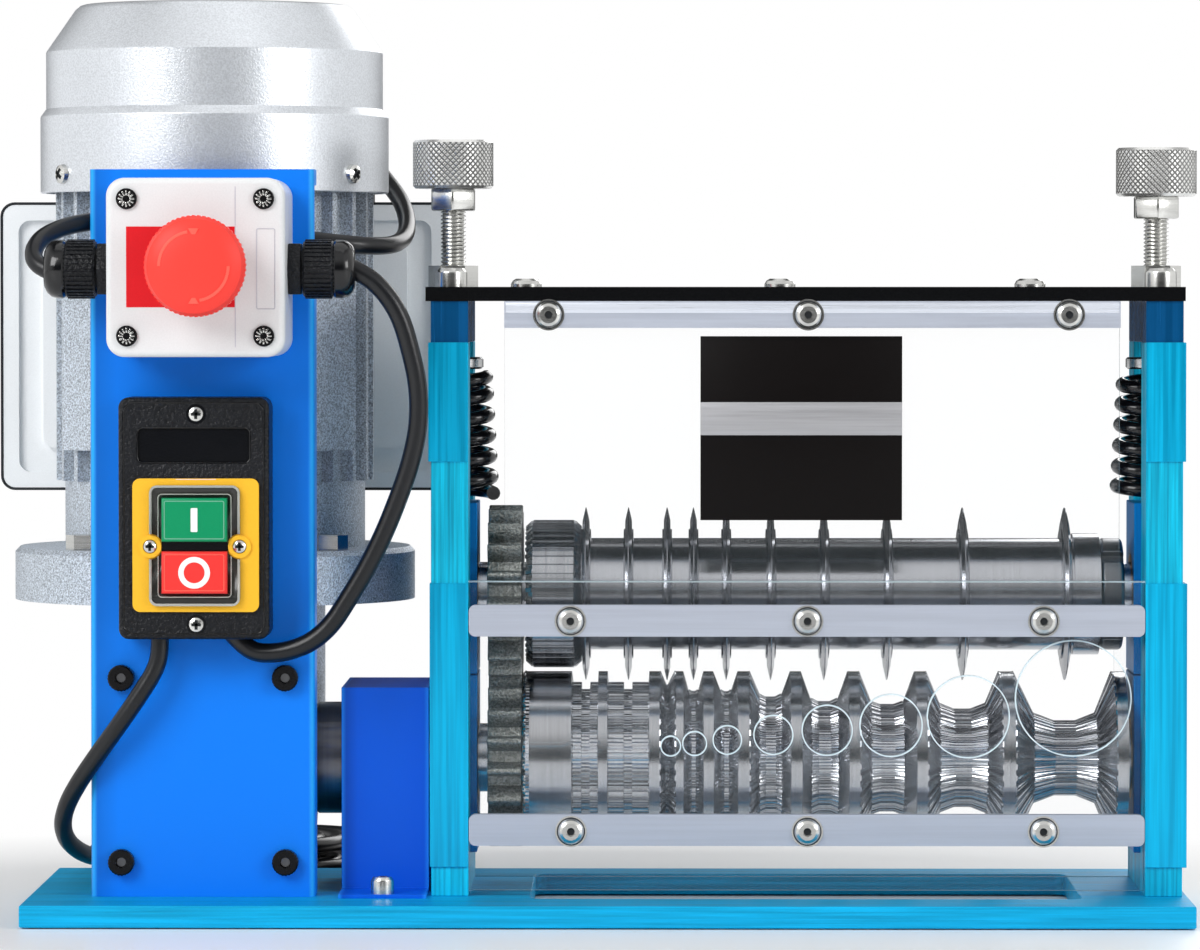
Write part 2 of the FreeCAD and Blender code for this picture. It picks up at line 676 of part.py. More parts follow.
# Clear sheets and the bars that hold them
INNER_LEFT = POST_X["left"] + THICK
INNER_RIGHT = POST_X["right"]
CLEAR_Y = size("clear_front")
SHEET_T = size("sheet_thick")
FEED_SLOTS = ((-33.7, 59.5, -15.2, 95.4), (-13.5, 55.3, -2.7, 63.4), (0.0, 55.6, 16.8, 64.8))
FEED_HOLES = (
    (24.3, 58.1, 7.2), (33.6, 59.1, 8.8), (46.3, 60.5, 10.6), (64.2, 62.5, 14.7), (85.1, 64.3, 19.0),
    (109.9, 66.2, 23.7), (139.9, 69.6, 31.4), (180.6, 76.8, 44.4),
)


def feed_plate():
    """The clear plate in front of the rollers, with one hole for each size of cable."""
    body = doc.addObject("PartDesign::Body", "feed_plate")
    face = new_sketch(body, "feed_plate_face", "XZ_Plane", "-$clear_front")
    left, right = "$left_post_x + $post_thick", "$right_post_x"
    add_rectangle(face, left, "$base_thick + 2", right, "$base_thick + 122.4", "edge")
    for x, height, across in FEED_HOLES:
        add_circles(face, [(x, BASE + height)], across / 2)
    pad(body, face, "$sheet_thick", True)
    doc.recompute()
    return keep("feed_plate", body)


def feed_slots(body):
    """Rounded slots on the left of the feed plate, for flat cable and thin wire."""
    for number, (left, low, right, high) in enumerate(FEED_SLOTS):
        radius = min(right - left, high - low) / 2 - 0.01
        radius = min(radius, 4.0)
        sketch = new_sketch(body, f"feed_slot_{number}", "XZ_Plane", "-$clear_front")
        low, high = BASE + low, BASE + high
        ends = [(left + radius, low), (right - radius, low), (right, low + radius), (right, high - radius),
                (right - radius, high), (left + radius, high), (left, high - radius), (left, low + radius)]
        diagonal = radius * (1 - math.sqrt(0.5))
        rounds = [(right - diagonal, low + diagonal), (right - diagonal, high - diagonal),
                  (left + diagonal, high - diagonal), (left + diagonal, low + diagonal)]
        for side in range(4):
            start, end = ends[2 * side], ends[2 * side + 1]
            after = ends[(2 * side + 2) % 8]
            sketch.addGeometry(Part.LineSegment(V(*start, 0), V(*end, 0)), False)
            sketch.addGeometry(Part.Arc(V(*end, 0), V(*rounds[side], 0), V(*after, 0)), False)
        cut_through(body, sketch, f"feed_slot_cut_{number}")


feed_slots(feed_plate())

guard = doc.addObject("PartDesign::Body", "upper_guard")
guard_face = new_sketch(guard, "upper_guard_face", "XZ_Plane", "-$clear_front")
add_rectangle(guard_face, "-40.2", "$base_thick + 122.8", "198.3",
              "$base_thick + $post_height + $head_height", "edge")
pad(guard, guard_face, "$sheet_thick", True)
keep("upper_guard", guard)

rear = doc.addObject("PartDesign::Body", "rear_guard")
rear_face = new_sketch(rear, "rear_guard_face", "XZ_Plane", "-43")
add_rectangle(rear_face, "$left_post_x + $post_thick", "$base_thick", "$right_post_x", "$base_thick + 124.3",
              "edge")
add_rectangle(rear_face, "-36", "$base_thick + 40", "202", "$base_thick + 104", "outlet")
pad(rear, rear_face, "$sheet_thick", True)
keep("rear_guard", rear)

BAR_T = size("bar_thick")
TOP_BAR_ROW = [(x, BASE + 225.7) for x in (-23.0, 77.5, 178.4)]
MIDDLE_ROW = [(x, BASE + 107.0) for x in (-14.6, 77.3, 168.8)]
LOWER_ROW = [(x, BASE + 25.3) for x in (-14.4, 77.3, 168.8)]


def bar(label, left, right, low, high, screws, round_ends):
    """A flat aluminium bar in front of the clear sheets, drilled for its button screws."""
    body = doc.addObject("PartDesign::Body", label)
    face = new_sketch(body, label + "_face", "XZ_Plane", "-$clear_front + $bar_thick")
    add_rectangle(face, left, low, right, high, "edge")
    add_circles(face, screws, SCREW_R + FIT)
    pad(body, face, "$bar_thick", True)
    doc.recompute()
    if round_ends:
        corners = [f"Edge{i}" for i, e in enumerate(body.Shape.Edges, 1)
                   if isinstance(e.Curve, Part.Line) and abs(e.tangentAt(e.FirstParameter).y) > 0.9]
        bind(round_edges(body, label + "_ends", corners), Radius="$bar_round")
    return keep(label, body)


inner_left, inner_right = "$left_post_x + $post_thick + 0.2", "$right_post_x - 0.2"
bar("top_bar", "-40.2", "198.3", "$base_thick + 220.6", "$base_thick + $post_height + $head_height",
    TOP_BAR_ROW, False)
for label, row in (("middle_bar", MIDDLE_ROW), ("lower_bar", LOWER_ROW)):
    low = f"$base_thick + ${label}"
    bar(label, inner_left, inner_right, low, low + " + $bar_height", row, True)

BAR_FRONT = CLEAR_Y - BAR_T
FRONT = Y_AXIS * -1
bar_screws = TOP_BAR_ROW + MIDDLE_ROW + LOWER_ROW
buttons = [socket_head(V(x, BAR_FRONT, z), FRONT, 5.0, 2.8, 3, SCREW_R, BAR_T) for x, z in bar_screws]
buttons += [socket_head(V(x, y, PLATE_TOP), Z_AXIS, 6.0, 3.2, 4, SCREW_R, 5.4) for x, y in TOP_SCREWS]

# Sheet-metal column in front of the gear unit
COL_LEFT = size("column_left")
COL_RIGHT = COL_LEFT + size("column_width")
COL_FRONT = size("column_front")
COL_SHEET = 3.0
COL_SCREWS = [(x, BASE + height) for x in (-188.6, -125.0) for height in (13.6, 85.1)]
COL_SCREW_R = 2.95


def column():
    """A folded channel with round bends, notched on both sides for the motor lead."""
    body = doc.addObject("PartDesign::Body", "column")
    sketch = new_sketch(body, "column_fold", "XY_Plane", "$base_thick")
    add_rectangle(sketch, "$column_left", "$column_front", "$column_left + $column_width",
                  "$column_front + $column_depth", "edge")
    pad(body, sketch, "$column_height")
    doc.recompute()
    bends = [f"Edge{i}" for i, e in enumerate(body.Shape.Edges, 1)
             if abs(e.tangentAt(e.FirstParameter).z) > 0.9 and e.CenterOfMass.y < COL_FRONT + 1]
    bind(round_edges(body, "column_bends", bends), Radius="$column_bend")
    doc.recompute()
    inside = new_sketch(body, "column_inside", "XY_Plane", "$base_thick")
    add_rectangle(inside, "$column_left + 3", "$column_front + 3", "$column_left + $column_width - 3",
                  "$column_front + $column_depth + 5", "edge")
    cut_through(body, inside, "column_inside_cut")
    notch = new_sketch(body, "column_notch", "YZ_Plane", "$column_left + $column_width / 2")
    add_rectangle(notch, "$column_front + 3", "$base_thick + 246", "$column_front + $column_depth + 5",
                  "$base_thick + 276", "edge")
    cut_through(body, notch, "column_notch_cut")
    drilled = new_sketch(body, "column_screw_holes", "XZ_Plane", "-$column_front")
    add_circles(drilled, COL_SCREWS, COL_SCREW_R + FIT)
    cut_through(body, drilled, "column_screw_cut")
    return keep("column", body)


column()
CASE_FRONT = COL_FRONT + COL_SHEET
caps = [socket_head(V(x, COL_FRONT, z), FRONT, 5.0, 4.6, 4, COL_SCREW_R, COL_SHEET - 0.05)
        for x, z in COL_SCREWS]
feature("cap_screws", Part.makeCompound(caps))
feature("button_screws", Part.makeCompound(buttons))

# Coupling cover
cover = doc.addObject("PartDesign::Body", "coupling_cover")
cover_side = new_sketch(cover, "coupling_cover_side", "YZ_Plane", "$cover_left")
COVER_TOP = BASE + size("cover_height")
SHEET = size("cover_sheet")
COVER_FRONT, COVER_BACK, COVER_TOE, COVER_HEEL = -22, 44, size("cover_foot"), 58
add_outline(cover_side, [
    (COVER_TOE, BASE), (COVER_TOE, BASE + SHEET), (COVER_FRONT, BASE + SHEET), (COVER_FRONT, COVER_TOP),
    (COVER_BACK, COVER_TOP), (COVER_BACK, BASE + SHEET), (COVER_HEEL, BASE + SHEET), (COVER_HEEL, BASE),
    (COVER_BACK - SHEET, BASE), (COVER_BACK - SHEET, COVER_TOP - SHEET),
    (COVER_FRONT + SHEET, COVER_TOP - SHEET), (COVER_FRONT + SHEET, BASE),
])
pad(cover, cover_side, "$cover_width")
doc.recompute()
FOOT_SCREW, FOOT_SCREW_R = (-87.4, -44.5), 2.0
foot_hole = new_sketch(cover, "coupling_cover_hole", "XY_Plane", "$base_thick")
add_circles(foot_hole, [FOOT_SCREW], FOOT_SCREW_R + FIT)
cut_through(cover, foot_hole, "coupling_cover_hole_cut")
keep("coupling_cover", cover)

# Gear unit: a worm drives the wheel on the roller's axis
MOTOR = V(size("motor_x"), size("motor_y"), 0)
CASE_TOP = BASE + 100
FLANGE_FOOT, FLANGE_SPLIT, FLANGE_TOP = BASE + 112, BASE + 121.6, BASE + 133
WHEEL_BORE = 37.0


def reducer_case():
    """The cast case, hollow round the worm and its wheel, with the motor's flange on top."""
    x = MOTOR.x
    case = rounded_box(x - 36, CASE_FRONT, BASE, x + 36, 71, CASE_TOP, 12, X_AXIS)
    boss = rod(32, V(x + 36, AXIS_Y, LOWER_Z), 6, X_AXIS)
    neck = rod(44, MOTOR + Z_AXIS * (CASE_TOP - 30), FLANGE_FOOT - CASE_TOP + 30, Z_AXIS)
    disc = rod(size("flange_radius"), MOTOR + Z_AXIS * FLANGE_FOOT, FLANGE_SPLIT - FLANGE_FOOT, Z_AXIS)
    shape = case.fuse([boss, neck, disc])
    wheel_space = rod(WHEEL_BORE, V(x - 19, AXIS_Y, LOWER_Z), 38, X_AXIS)
    worm_space = rod(16, MOTOR + Z_AXIS * (BASE + 8), FLANGE_SPLIT, Z_AXIS)
    shaft_hole = rod(SHAFT_R + FIT, V(x - 30, AXIS_Y, LOWER_Z), 90, X_AXIS)
    shape = shape.cut(wheel_space).cut(worm_space).cut(shaft_hole)
    return feature("reducer_case", shape.removeSplitter())


reducer_case()


def worm_wheel():
    """The toothed wheel and its shaft; the rim is hollowed round the worm."""
    x = MOTOR.x
    stub = rod(SHAFT_R, V(x - 29, AXIS_Y, LOWER_Z), -96.0 - (x - 29), X_AXIS)
    rim = turned([(-9, 10), (-9, 30), (-6, 31), (6, 31), (9, 30), (9, 10)], V(x, AXIS_Y, LOWER_Z), X_AXIS)
    throat = Part.makeTorus(size("worm_gap"), size("worm_radius") + 0.8, V(x, AXIS_Y, LOWER_Z), X_AXIS)
    rim = rim.cut(throat)
    notch_count = 20
    for notch in range(notch_count):
        cutter = box(x - 12, AXIS_Y - 1.3, LOWER_Z + 27.5, x + 12, AXIS_Y + 1.3, LOWER_Z + 34)
        cutter.rotate(V(x, AXIS_Y, LOWER_Z), X_AXIS, 360 / notch_count * (notch + 0.5))
        rim = rim.cut(cutter)
    return feature("worm_wheel", rim.fuse(stub).removeSplitter())


worm_wheel()
coupling = turned([
    (0, ON_SHAFT), (0, 21), (1, 22), (37.5, 22), (38.5, 21), (38.5, ON_SHAFT),
], V(-115.5, AXIS_Y, LOWER_Z), X_AXIS)
feature("shaft_coupling", coupling)

# Motor
NECK_TOP, FRAME_TOP = BASE + 159.5, BASE + 276
COWL_FOOT, COWL_STEP, COWL_STEP_TOP = BASE + 274, BASE + 304, BASE + 307.5
COWL_SHOULDER, COWL_TOP = BASE + 330.4, BASE + 349
MOTOR_SHAFT = size("motor_shaft_radius")
BOX_FRONT = 112.0


def spoke(inner, outer, wide, low, high, angle):
    """A block between two radii of the motor, turned about its axis."""
    block = box(MOTOR.x + inner, MOTOR.y - wide / 2, low, MOTOR.x + outer, MOTOR.y + wide / 2, high)
    block.rotate(MOTOR, Z_AXIS, angle)
    return block


def motor_frame():
    """The cast frame with its flange, cooling fins, flat pads and the neck of the terminal box."""
    body_r, fin_r = size("frame_radius"), size("rib_radius")
    flange = turned([
        (FLANGE_SPLIT, 0), (FLANGE_SPLIT, 80), (FLANGE_TOP - 2, 80), (FLANGE_TOP, 78), (FLANGE_TOP, 60),
        (NECK_TOP, 60), (NECK_TOP, body_r), (FRAME_TOP, body_r), (FRAME_TOP, 0),
    ], MOTOR, Z_AXIS)
    fins = []
    for angle in range(10, 360, 12):
        behind_saddle = abs(angle - 90) < 34
        if not behind_saddle:
            fins.append(spoke(body_r - 2, fin_r, 2.8, NECK_TOP, FRAME_TOP, angle))
    pads = [spoke(body_r - 8, fin_r + 1.5, 34, BASE + 172, BASE + 245, angle) for angle in (-45, 225)]
    saddle = box(MOTOR.x - 34, MOTOR.y + 40, BASE + 182, MOTOR.x + 34, BOX_FRONT, BASE + 246)
    shape = flange.fuse(fins + pads + [saddle])
    inside = rod(50, MOTOR + Z_AXIS * (BASE + 140), 128, Z_AXIS)
    bore = rod(MOTOR_SHAFT + FIT, MOTOR + Z_AXIS * (FLANGE_SPLIT - 1), 170, Z_AXIS)
    return feature("motor_frame", shape.cut(inside).cut(bore).removeSplitter())


motor_frame()


FAN_FOOT, FAN_TOP, FAN_R = BASE + 284, BASE + 304, 56


def rotor():
    """The motor's shaft and rotor core, with the worm on the shaft's lower end."""
    profile = [
        (BASE + 12, 0), (BASE + 12, MOTOR_SHAFT), (BASE + 24, MOTOR_SHAFT), (BASE + 26, 11), (BASE + 75, 11),
        (BASE + 77, MOTOR_SHAFT), (BASE + 168, MOTOR_SHAFT), (BASE + 168, 34), (BASE + 236, 34),
        (BASE + 236, MOTOR_SHAFT), (FAN_TOP + 2, MOTOR_SHAFT), (FAN_TOP + 2, 0),
    ]
    return feature("rotor", turned(profile, MOTOR, Z_AXIS))


def cooling_fan():
    """A radial fan of straight blades on the shaft's upper end."""
    bore, disc_top = MOTOR_SHAFT + 0.02, FAN_FOOT + 3
    hub = turned([
        (FAN_FOOT, bore), (FAN_FOOT, FAN_R), (disc_top, FAN_R), (disc_top, 16), (FAN_TOP, 14), (FAN_TOP, bore),
    ], MOTOR, Z_AXIS)
    blades = [spoke(13, FAN_R, 2.4, disc_top - 1, FAN_TOP, 60 * number) for number in range(6)]
    return feature("cooling_fan", hub.fuse(blades).removeSplitter())


def fan_cowl():
    """A thin pressed cowl over the fan, with round air holes in its top."""
    outer = size("cowl_radius")
    upper, top = size("cowl_upper_radius"), size("cowl_top_radius")
    skin, hole = 2.0, 4.5
    profile = [
        (COWL_FOOT, outer - skin), (COWL_FOOT, outer), (COWL_STEP, outer), (COWL_STEP_TOP, upper),
        (COWL_SHOULDER, upper), (COWL_TOP - 2, top + 1.5), (COWL_TOP, top - 1), (COWL_TOP, 0),
        (COWL_TOP - skin, 0), (COWL_TOP - skin, top - 3), (COWL_SHOULDER - 1, upper - skin),
        (COWL_STEP_TOP, upper - skin), (COWL_STEP, outer - skin),
    ]
    lugs = [spoke(size("frame_radius") - 4, outer - 1, 12, FRAME_TOP, FRAME_TOP + 5, angle)
            for angle in (10, 130, 250)]
    shape = turned(profile, MOTOR, Z_AXIS).fuse(lugs)
    for ring_radius, count in ((16, 6), (29, 12), (42, 18)):
        for number in range(count):
            angle = 2 * math.pi * number / count
            centre = MOTOR + V(ring_radius * math.cos(angle), ring_radius * math.sin(angle), COWL_TOP - 5)
            shape = shape.cut(rod(hole, centre, 10, Z_AXIS))
    return feature("fan_cowl", shape.removeSplitter())


rotor()
cooling_fan()
fan_cowl()

BOX_LEFT, BOX_RIGHT, BOX_BACK = -250.0, -68.0, 168.0
BOX_LOW, BOX_HIGH = 163.0, 278.5
BOX_WALL, TRAY_DEPTH = 3.0, 3.0


def box_panel(inset, front, back, corner):
    """A flat block with the terminal box's outline moved inwards, its corners rounded."""
    return rounded_box(BOX_LEFT + inset, front, BOX_LOW + inset, BOX_RIGHT - inset, back, BOX_HIGH - inset,
                       corner, Y_AXIS)


def terminal_box():
    """The hollow box behind the motor; its front is a tray with a raised middle."""
    shape = box_panel(0, BOX_FRONT, BOX_BACK, 5)
    back_edges = [e for e in shape.Edges if abs(e.CenterOfMass.y - BOX_BACK) < 0.1]
    shape = shape.makeFillet(4, back_edges).fuse(box_panel(-1.5, BOX_FRONT, BOX_FRONT + 4, 6))
    tray = box_panel(6, BOX_FRONT - 1, BOX_FRONT + TRAY_DEPTH, 5)
    island = box_panel(16, BOX_FRONT, BOX_FRONT + TRAY_DEPTH, 4)
    inside = box(BOX_LEFT + BOX_WALL, BOX_FRONT + TRAY_DEPTH + BOX_WALL, BOX_LOW + BOX_WALL,
                 BOX_RIGHT - BOX_WALL, BOX_BACK - BOX_WALL, BOX_HIGH - BOX_WALL)
    return feature("terminal_box", shape.cut(tray.cut(island)).cut(inside).removeSplitter())


terminal_box()


def hex_fasteners():
    """The motor's flange bolts, and the plated nuts and screws on the top plate and the coupling cover."""
    solids = []
    for number in range(4):
        angle = math.radians(45 + 90 * number)
        centre = MOTOR + V(68 * math.cos(angle), 68 * math.sin(angle), 0)
        solids.append(hexagon(13, FLANGE_TOP, 6, centre, Z_AXIS))
    for side in POST_X:
        axis = stud_axis(side)
        nut = hexagon(size("nut_flats"), PLATE_TOP, 8.4, axis, Z_AXIS)
        solids.append(nut.cut(rod(STUD_R + FIT, axis + Z_AXIS * (PLATE_TOP - 1), 12, Z_AXIS)))
        solids.append(socket_head(V(axis.x, CAP_Y, PLATE_TOP), Z_AXIS, 6.2, 7.3, 6, CAP_R, 18))
    solids.append(socket_head(V(*FOOT_SCREW, BASE + SHEET), Z_AXIS, 4.5, 6.5, 4, FOOT_SCREW_R, SHEET - 0.1))
    return feature("hex_fasteners", Part.makeCompound(solids))


hex_fasteners()

# Emergency-stop box with its mushroom head
STOP_LEFT, STOP_W, STOP_FOOT = size("box_left"), size("box_width"), BASE + size("box_foot")
STOP_FRONT = size("box_front")
HEAD_X, HEAD_Z = -154.8, 252.7
COLLAR_FRONT = STOP_FRONT - 4
STEM_FRONT, STEM_R = COLLAR_FRONT - 8, 8.0


def stop_block(inset, front, back, corner):
    """A block with the stop box's outline moved inwards, its corners rounded."""
    return rounded_box(STOP_LEFT + inset, front, STOP_FOOT + inset, STOP_LEFT + STOP_W - inset, back,
                       STOP_FOOT + STOP_W - inset, corner, Y_AXIS)


def stop_box():
    """A hollow plastic box with a seam between its halves; the stop button's stem passes through its front."""
    shape = stop_block(0, STOP_FRONT, COL_FRONT, size("box_corner"))
    front_edges = [e for e in shape.Edges if abs(e.CenterOfMass.y - STOP_FRONT) < 0.1]
    shape = shape.makeFillet(2.5, front_edges)
    seam = stop_block(-1, -67.5, -66.7, 7).cut(stop_block(0.6, -68, -66, 6.4))
    inside = stop_block(4, STOP_FRONT + 4, COL_FRONT - 3, 3)
    collar = rod(15, V(HEAD_X, COLLAR_FRONT, HEAD_Z), 5, Y_AXIS)
    hole = rod(STEM_R + 0.1, V(HEAD_X, COLLAR_FRONT - 1, HEAD_Z), 20, Y_AXIS)
    return feature("stop_box", shape.cut(seam).cut(inside).fuse(collar).cut(hole).removeSplitter())


def mushroom():
    """The domed head of the stop button, wider than its collar."""
    radius = size("mushroom_radius")
    profile = [
        (0, 0), (0, radius - 3), (-1.5, radius), (-8.0, radius), (-10.5, radius - 1.2), (-12.4, radius - 4.0),
        (-13.6, radius - 9.0), (-14.0, 0),
    ]
    return feature("stop_mushroom", turned(profile, V(HEAD_X, STEM_FRONT - 0.2, HEAD_Z), Y_AXIS))


stop_box()
feature("stop_stem", rod(STEM_R, V(HEAD_X, STEM_FRONT, HEAD_Z), 30, Y_AXIS))
mushroom()

GLAND_Y, GLAND_Z, GLAND_LONG = -68.0, 251.8, 25.4


def gland_end(side):
    """Where a lead leaves the cable gland on one side of the stop box."""
    if side == "left":
        return V(STOP_LEFT - GLAND_LONG, GLAND_Y, GLAND_Z)
    return V(STOP_LEFT + STOP_W + GLAND_LONG, GLAND_Y, GLAND_Z)


def gland(side):
    """A cable gland: a hexagon against the box, a second one on its thread and the dome nut."""
    axis = X_AXIS * -INWARD[side]
    start = gland_end(side) - axis * GLAND_LONG
    neck = rod(8.5, start, 12, axis)
    dome = turned([
        (17.2, 0), (17.2, 10.4), (18, 11), (22.4, 11), (24.6, 9.6), (GLAND_LONG, 7.2), (GLAND_LONG, 0),
    ], start, axis)
    hexagons = [hexagon(19.5, 0, 5, start, axis), hexagon(21, 5.6, 11.8, start, axis)]
    return neck.fuse(hexagons + [dome]).removeSplitter()


feature("cable_glands", Part.makeCompound([gland("left"), gland("right")]))

# Switch box with two buttons
SW_LEFT, SW_FOOT = size("switch_left"), size("switch_foot")
SW_W, SW_H, SW_FRONT = size("switch_width"), size("switch_height"), size("switch_front")
SW_MIDDLE = SW_LEFT + SW_W / 2
BUTTON_X, BUTTON_HALF, BUTTON_PLAY = -158.3, 12.6, 0.3
GREEN_Z = (147.3, 164.1)
RED_Z = (127.4, 143.6)


def button_hole(front, back, low, high):
    """The space of a push button and its play."""
    side = BUTTON_HALF + BUTTON_PLAY
    return box(BUTTON_X - side, front, low - BUTTON_PLAY, BUTTON_X + side, back, high + BUTTON_PLAY)


def switch_box():
    """The moulded box, hollow behind its front, with a bare recess and openings for the buttons."""
    shape = rounded_box(SW_LEFT, SW_FRONT, SW_FOOT, SW_LEFT + SW_W, COL_FRONT, SW_FOOT + SW_H, 4, Y_AXIS)
    front_edges = [e for e in shape.Edges if abs(e.CenterOfMass.y - SW_FRONT) < 0.1]
    shape = shape.makeFillet(1.5, front_edges)
    top = SW_FOOT + SW_H
    recess = rounded_box(SW_MIDDLE - 21.7, SW_FRONT - 1, top - 25.2,
                         SW_MIDDLE + 21.7, SW_FRONT + 1.5, top - 11.6, 2.5, Y_AXIS)
    pocket = box(SW_MIDDLE - 18, SW_FRONT + 3, SW_FOOT + 8, SW_MIDDLE + 18, COL_FRONT - 3, SW_FOOT + 62)
    shape = shape.cut(recess).cut(pocket)
    for low, high in (GREEN_Z, RED_Z):
        shape = shape.cut(button_hole(SW_FRONT - 1, SW_FRONT + 6, low, high))
    return feature("switch_box", shape.removeSplitter())


YELLOW = (-182.3, 120.2, -133.7, 171.5)
PLATE_FRONT = SW_FRONT - 1.5


def switch_plate():
    """The yellow plate round the buttons."""
    left, low, right, high = YELLOW
    shape = rounded_box(left, PLATE_FRONT, low, right, SW_FRONT, high, 3, Y_AXIS)
    return feature("switch_plate", shape.cut(button_hole(PLATE_FRONT - 1, SW_FRONT + 1, RED_Z[0], GREEN_Z[1])))


def push_button(label, low, high):
    """A square push button with rounded edges."""
    shape = box(BUTTON_X - BUTTON_HALF, PLATE_FRONT - 4, low, BUTTON_X + BUTTON_HALF, SW_FRONT + 8, high)
    edges = [e for e in shape.Edges if abs(e.CenterOfMass.y - (PLATE_FRONT - 4)) < 0.1]
    return feature(label, shape.makeFillet(1.2, edges))


switch_box()
switch_plate()
push_button("start_button", *GREEN_Z)
push_button("halt_button", *RED_Z)

# Cross-recessed screws in the faces of the two boxes and round the cowl
stop_x, stop_z = STOP_LEFT + STOP_W / 2, STOP_FOOT + STOP_W / 2
panel = [raised_screw(V(stop_x + side_x, STOP_FRONT, stop_z + side_z), FRONT, 4.0, 2.0)
         for side_x in (-26, 26) for side_z in (-26, 26)]
panel += [raised_screw(V(-157.9, SW_FRONT, SW_FOOT + height), FRONT, 3.2, 1.3) for height in (5.7, SW_H - 6.4)]
panel += [raised_screw(V(BUTTON_X + side_x, PLATE_FRONT, 145.4), FRONT, 2.65, 1.9) for side_x in (-17.2, 17.2)]
for angle in (215, 325, 90):
    way = V(math.cos(math.radians(angle)), math.sin(math.radians(angle)), 0)
    panel.append(raised_screw(MOTOR + way * size("cowl_radius") + Z_AXIS * (BASE + 281), way, 4.0, 2.6))
feature("panel_screws", Part.makeCompound(panel))

# Leads and the mains cord
MOTOR_LEAD_ROUTE = (
    (-212.8, -69.05, 250.7), (-217.65, -67.1, 252.7), (-220.35, -63.8, 256), (-220.35, -59.9, 260),
    (-218, -53, 264), (-212.3, -45, 267.6), (-203.6, -37, 270), (-191.8, -31.7, 271.2), (-178, -30.2, 270.8),
    (-162, -29.8, 269.2), (-146, -30.2, 267.2), (-131, -30, 265.2), (-117.5, -29.6, 263.4), (-105.5, -28, 262),
    (-94.8, -23.5, 261), (-87, -13.5, 261), (-82.6, -0.5, 262.4), (-80.6, 14.5, 265.4), (-80.5, 30, 270),
    (-82, 44.5, 275.2), (-84.6, 58, 280.2), (-88.4, 71, 285), (-92.6, 84, 289.8), (-96, 97.5, 293.6),
    (-98.8, 111, 295.6), (-100.9, 124.5, 295), (-101.8, 134.5, 292), (-102, 140, 286), (-102, 140, 278.5),
)
LINK_LEAD_ROUTE = (
    (-99.3, -68, 252.8), (-92.6, -68, 249.4), (-87.4, -67.8, 245.2), (-82.6, -67.5, 239.3), (-78.8, -67, 232),
    (-76, -66.3, 222.5), (-72.6, -65.1, 208), (-72.3, -64, 192.5), (-75.5, -63, 177.5), (-80.5, -62, 163.5),
    (-86, -61, 150), (-92.5, -60, 137), (-99.9, -59, 124.8), (-106.3, -58, 114.8), (-113.9, -57, 108.2),
    (-122, -56, 104.9), (-129.5, -55.2, 103.7), (-136.2, -54.5, 104), (-141.3, -54.1, 107.6),
    (-145.6, -54, 112.4),
)
MAINS_CORD_ROUTE = (
    (-172.8, -54, 109.6), (-172.8, -54, 103.2), (-174.9, -54, 96.6), (-180.2, -53.7, 88.2),
    (-186.2, -52.8, 79.5), (-192.6, -51.2, 70.6), (-199.2, -48.6, 61.6), (-205.4, -44.9, 52.6),
    (-210.4, -39.8, 43.9), (-212.9, -32.4, 35.6), (-212, -22.4, 28.6), (-208.8, -10, 23.6),
    (-206.3, 4.5, 20.5), (-205.8, 20, 18.5),
    (-206.3, 36, 17.6), (-206.6, 52, 17.9), (-206.3, 66, 18.2), (-205.8, 80, 17), (-205.3, 94, 12.5),
    (-204.9, 107, 7.5), (-204.7, 120, 4.4), (-204.5, 137, 3.5), (-204.5, 155, 3.5),
)
cord_tube("motor_lead", MOTOR_LEAD_ROUTE, size("lead_radius"), ["cable_glands"])
cord_tube("link_lead", LINK_LEAD_ROUTE, size("link_radius"), ["cable_glands", "switch_box"])
cord_tube("mains_cord", MAINS_CORD_ROUTE, size("cord_radius"))
COIL_TURNS = 3
PLUG_LONG, PLUG_HALF_WIDTH, PLUG_HALF_HEIGHT, PRONG_LONG = 34, 12.5, 10.8, 16


def mains_coil():
    """The rest of the cord, wound flat: three turns in, a climb, and out again on top, the last turn wide."""
    cord = size("cord_radius")
    step = size("coil_step")
    radius = size("coil_radius")
    point = V(*MAINS_CORD_ROUTE[-1])
    heading = V(0, 1, 0)
    inward = V(1, 0, 0)
    edges = [Part.LineSegment(point, point + heading * (2 * cord)).toShape()]
    point = point + heading * (2 * cord)

    def half_turn(start, way, side, bend):
        end = start + side * (2 * bend)
        edges.append(Part.Arc(start, start + side * bend + way * bend, end).toShape())
        return end, way * -1, side * -1

    for half in range(2 * COIL_TURNS):
        point, heading, inward = half_turn(point, heading, inward, radius - half * step / 2)
    radius -= (2 * COIL_TURNS - 1) * step / 2
    climb = radius - step * 0.4
    above = point + inward * (2 * climb) + Z_AXIS * step
    edges.extend(biarc(point, heading, above, heading * -1))
    point, heading, inward = above, heading * -1, inward * -1
    for half in range(2 * COIL_TURNS - 1):
        point, heading, inward = half_turn(point, heading, inward, radius + half * step / 2)
    outside = point + inward * (2 * size("coil_exit_radius"))
    outside.z = PLUG_HALF_HEIGHT + 0.05
    edges.extend(biarc(point, heading, outside, heading * -1))
    point, heading = outside, heading * -1
    end = point + heading * (2 * cord)
    edges.append(Part.LineSegment(point, end).toShape())
    solid, path = swept(edges, cord)
    print(f"mains_coil: length {path.Length:.0f}, least gap to itself {least_gap(path, cord, 60):.2f}")
    feature("mains_coil", solid)
    return end, heading


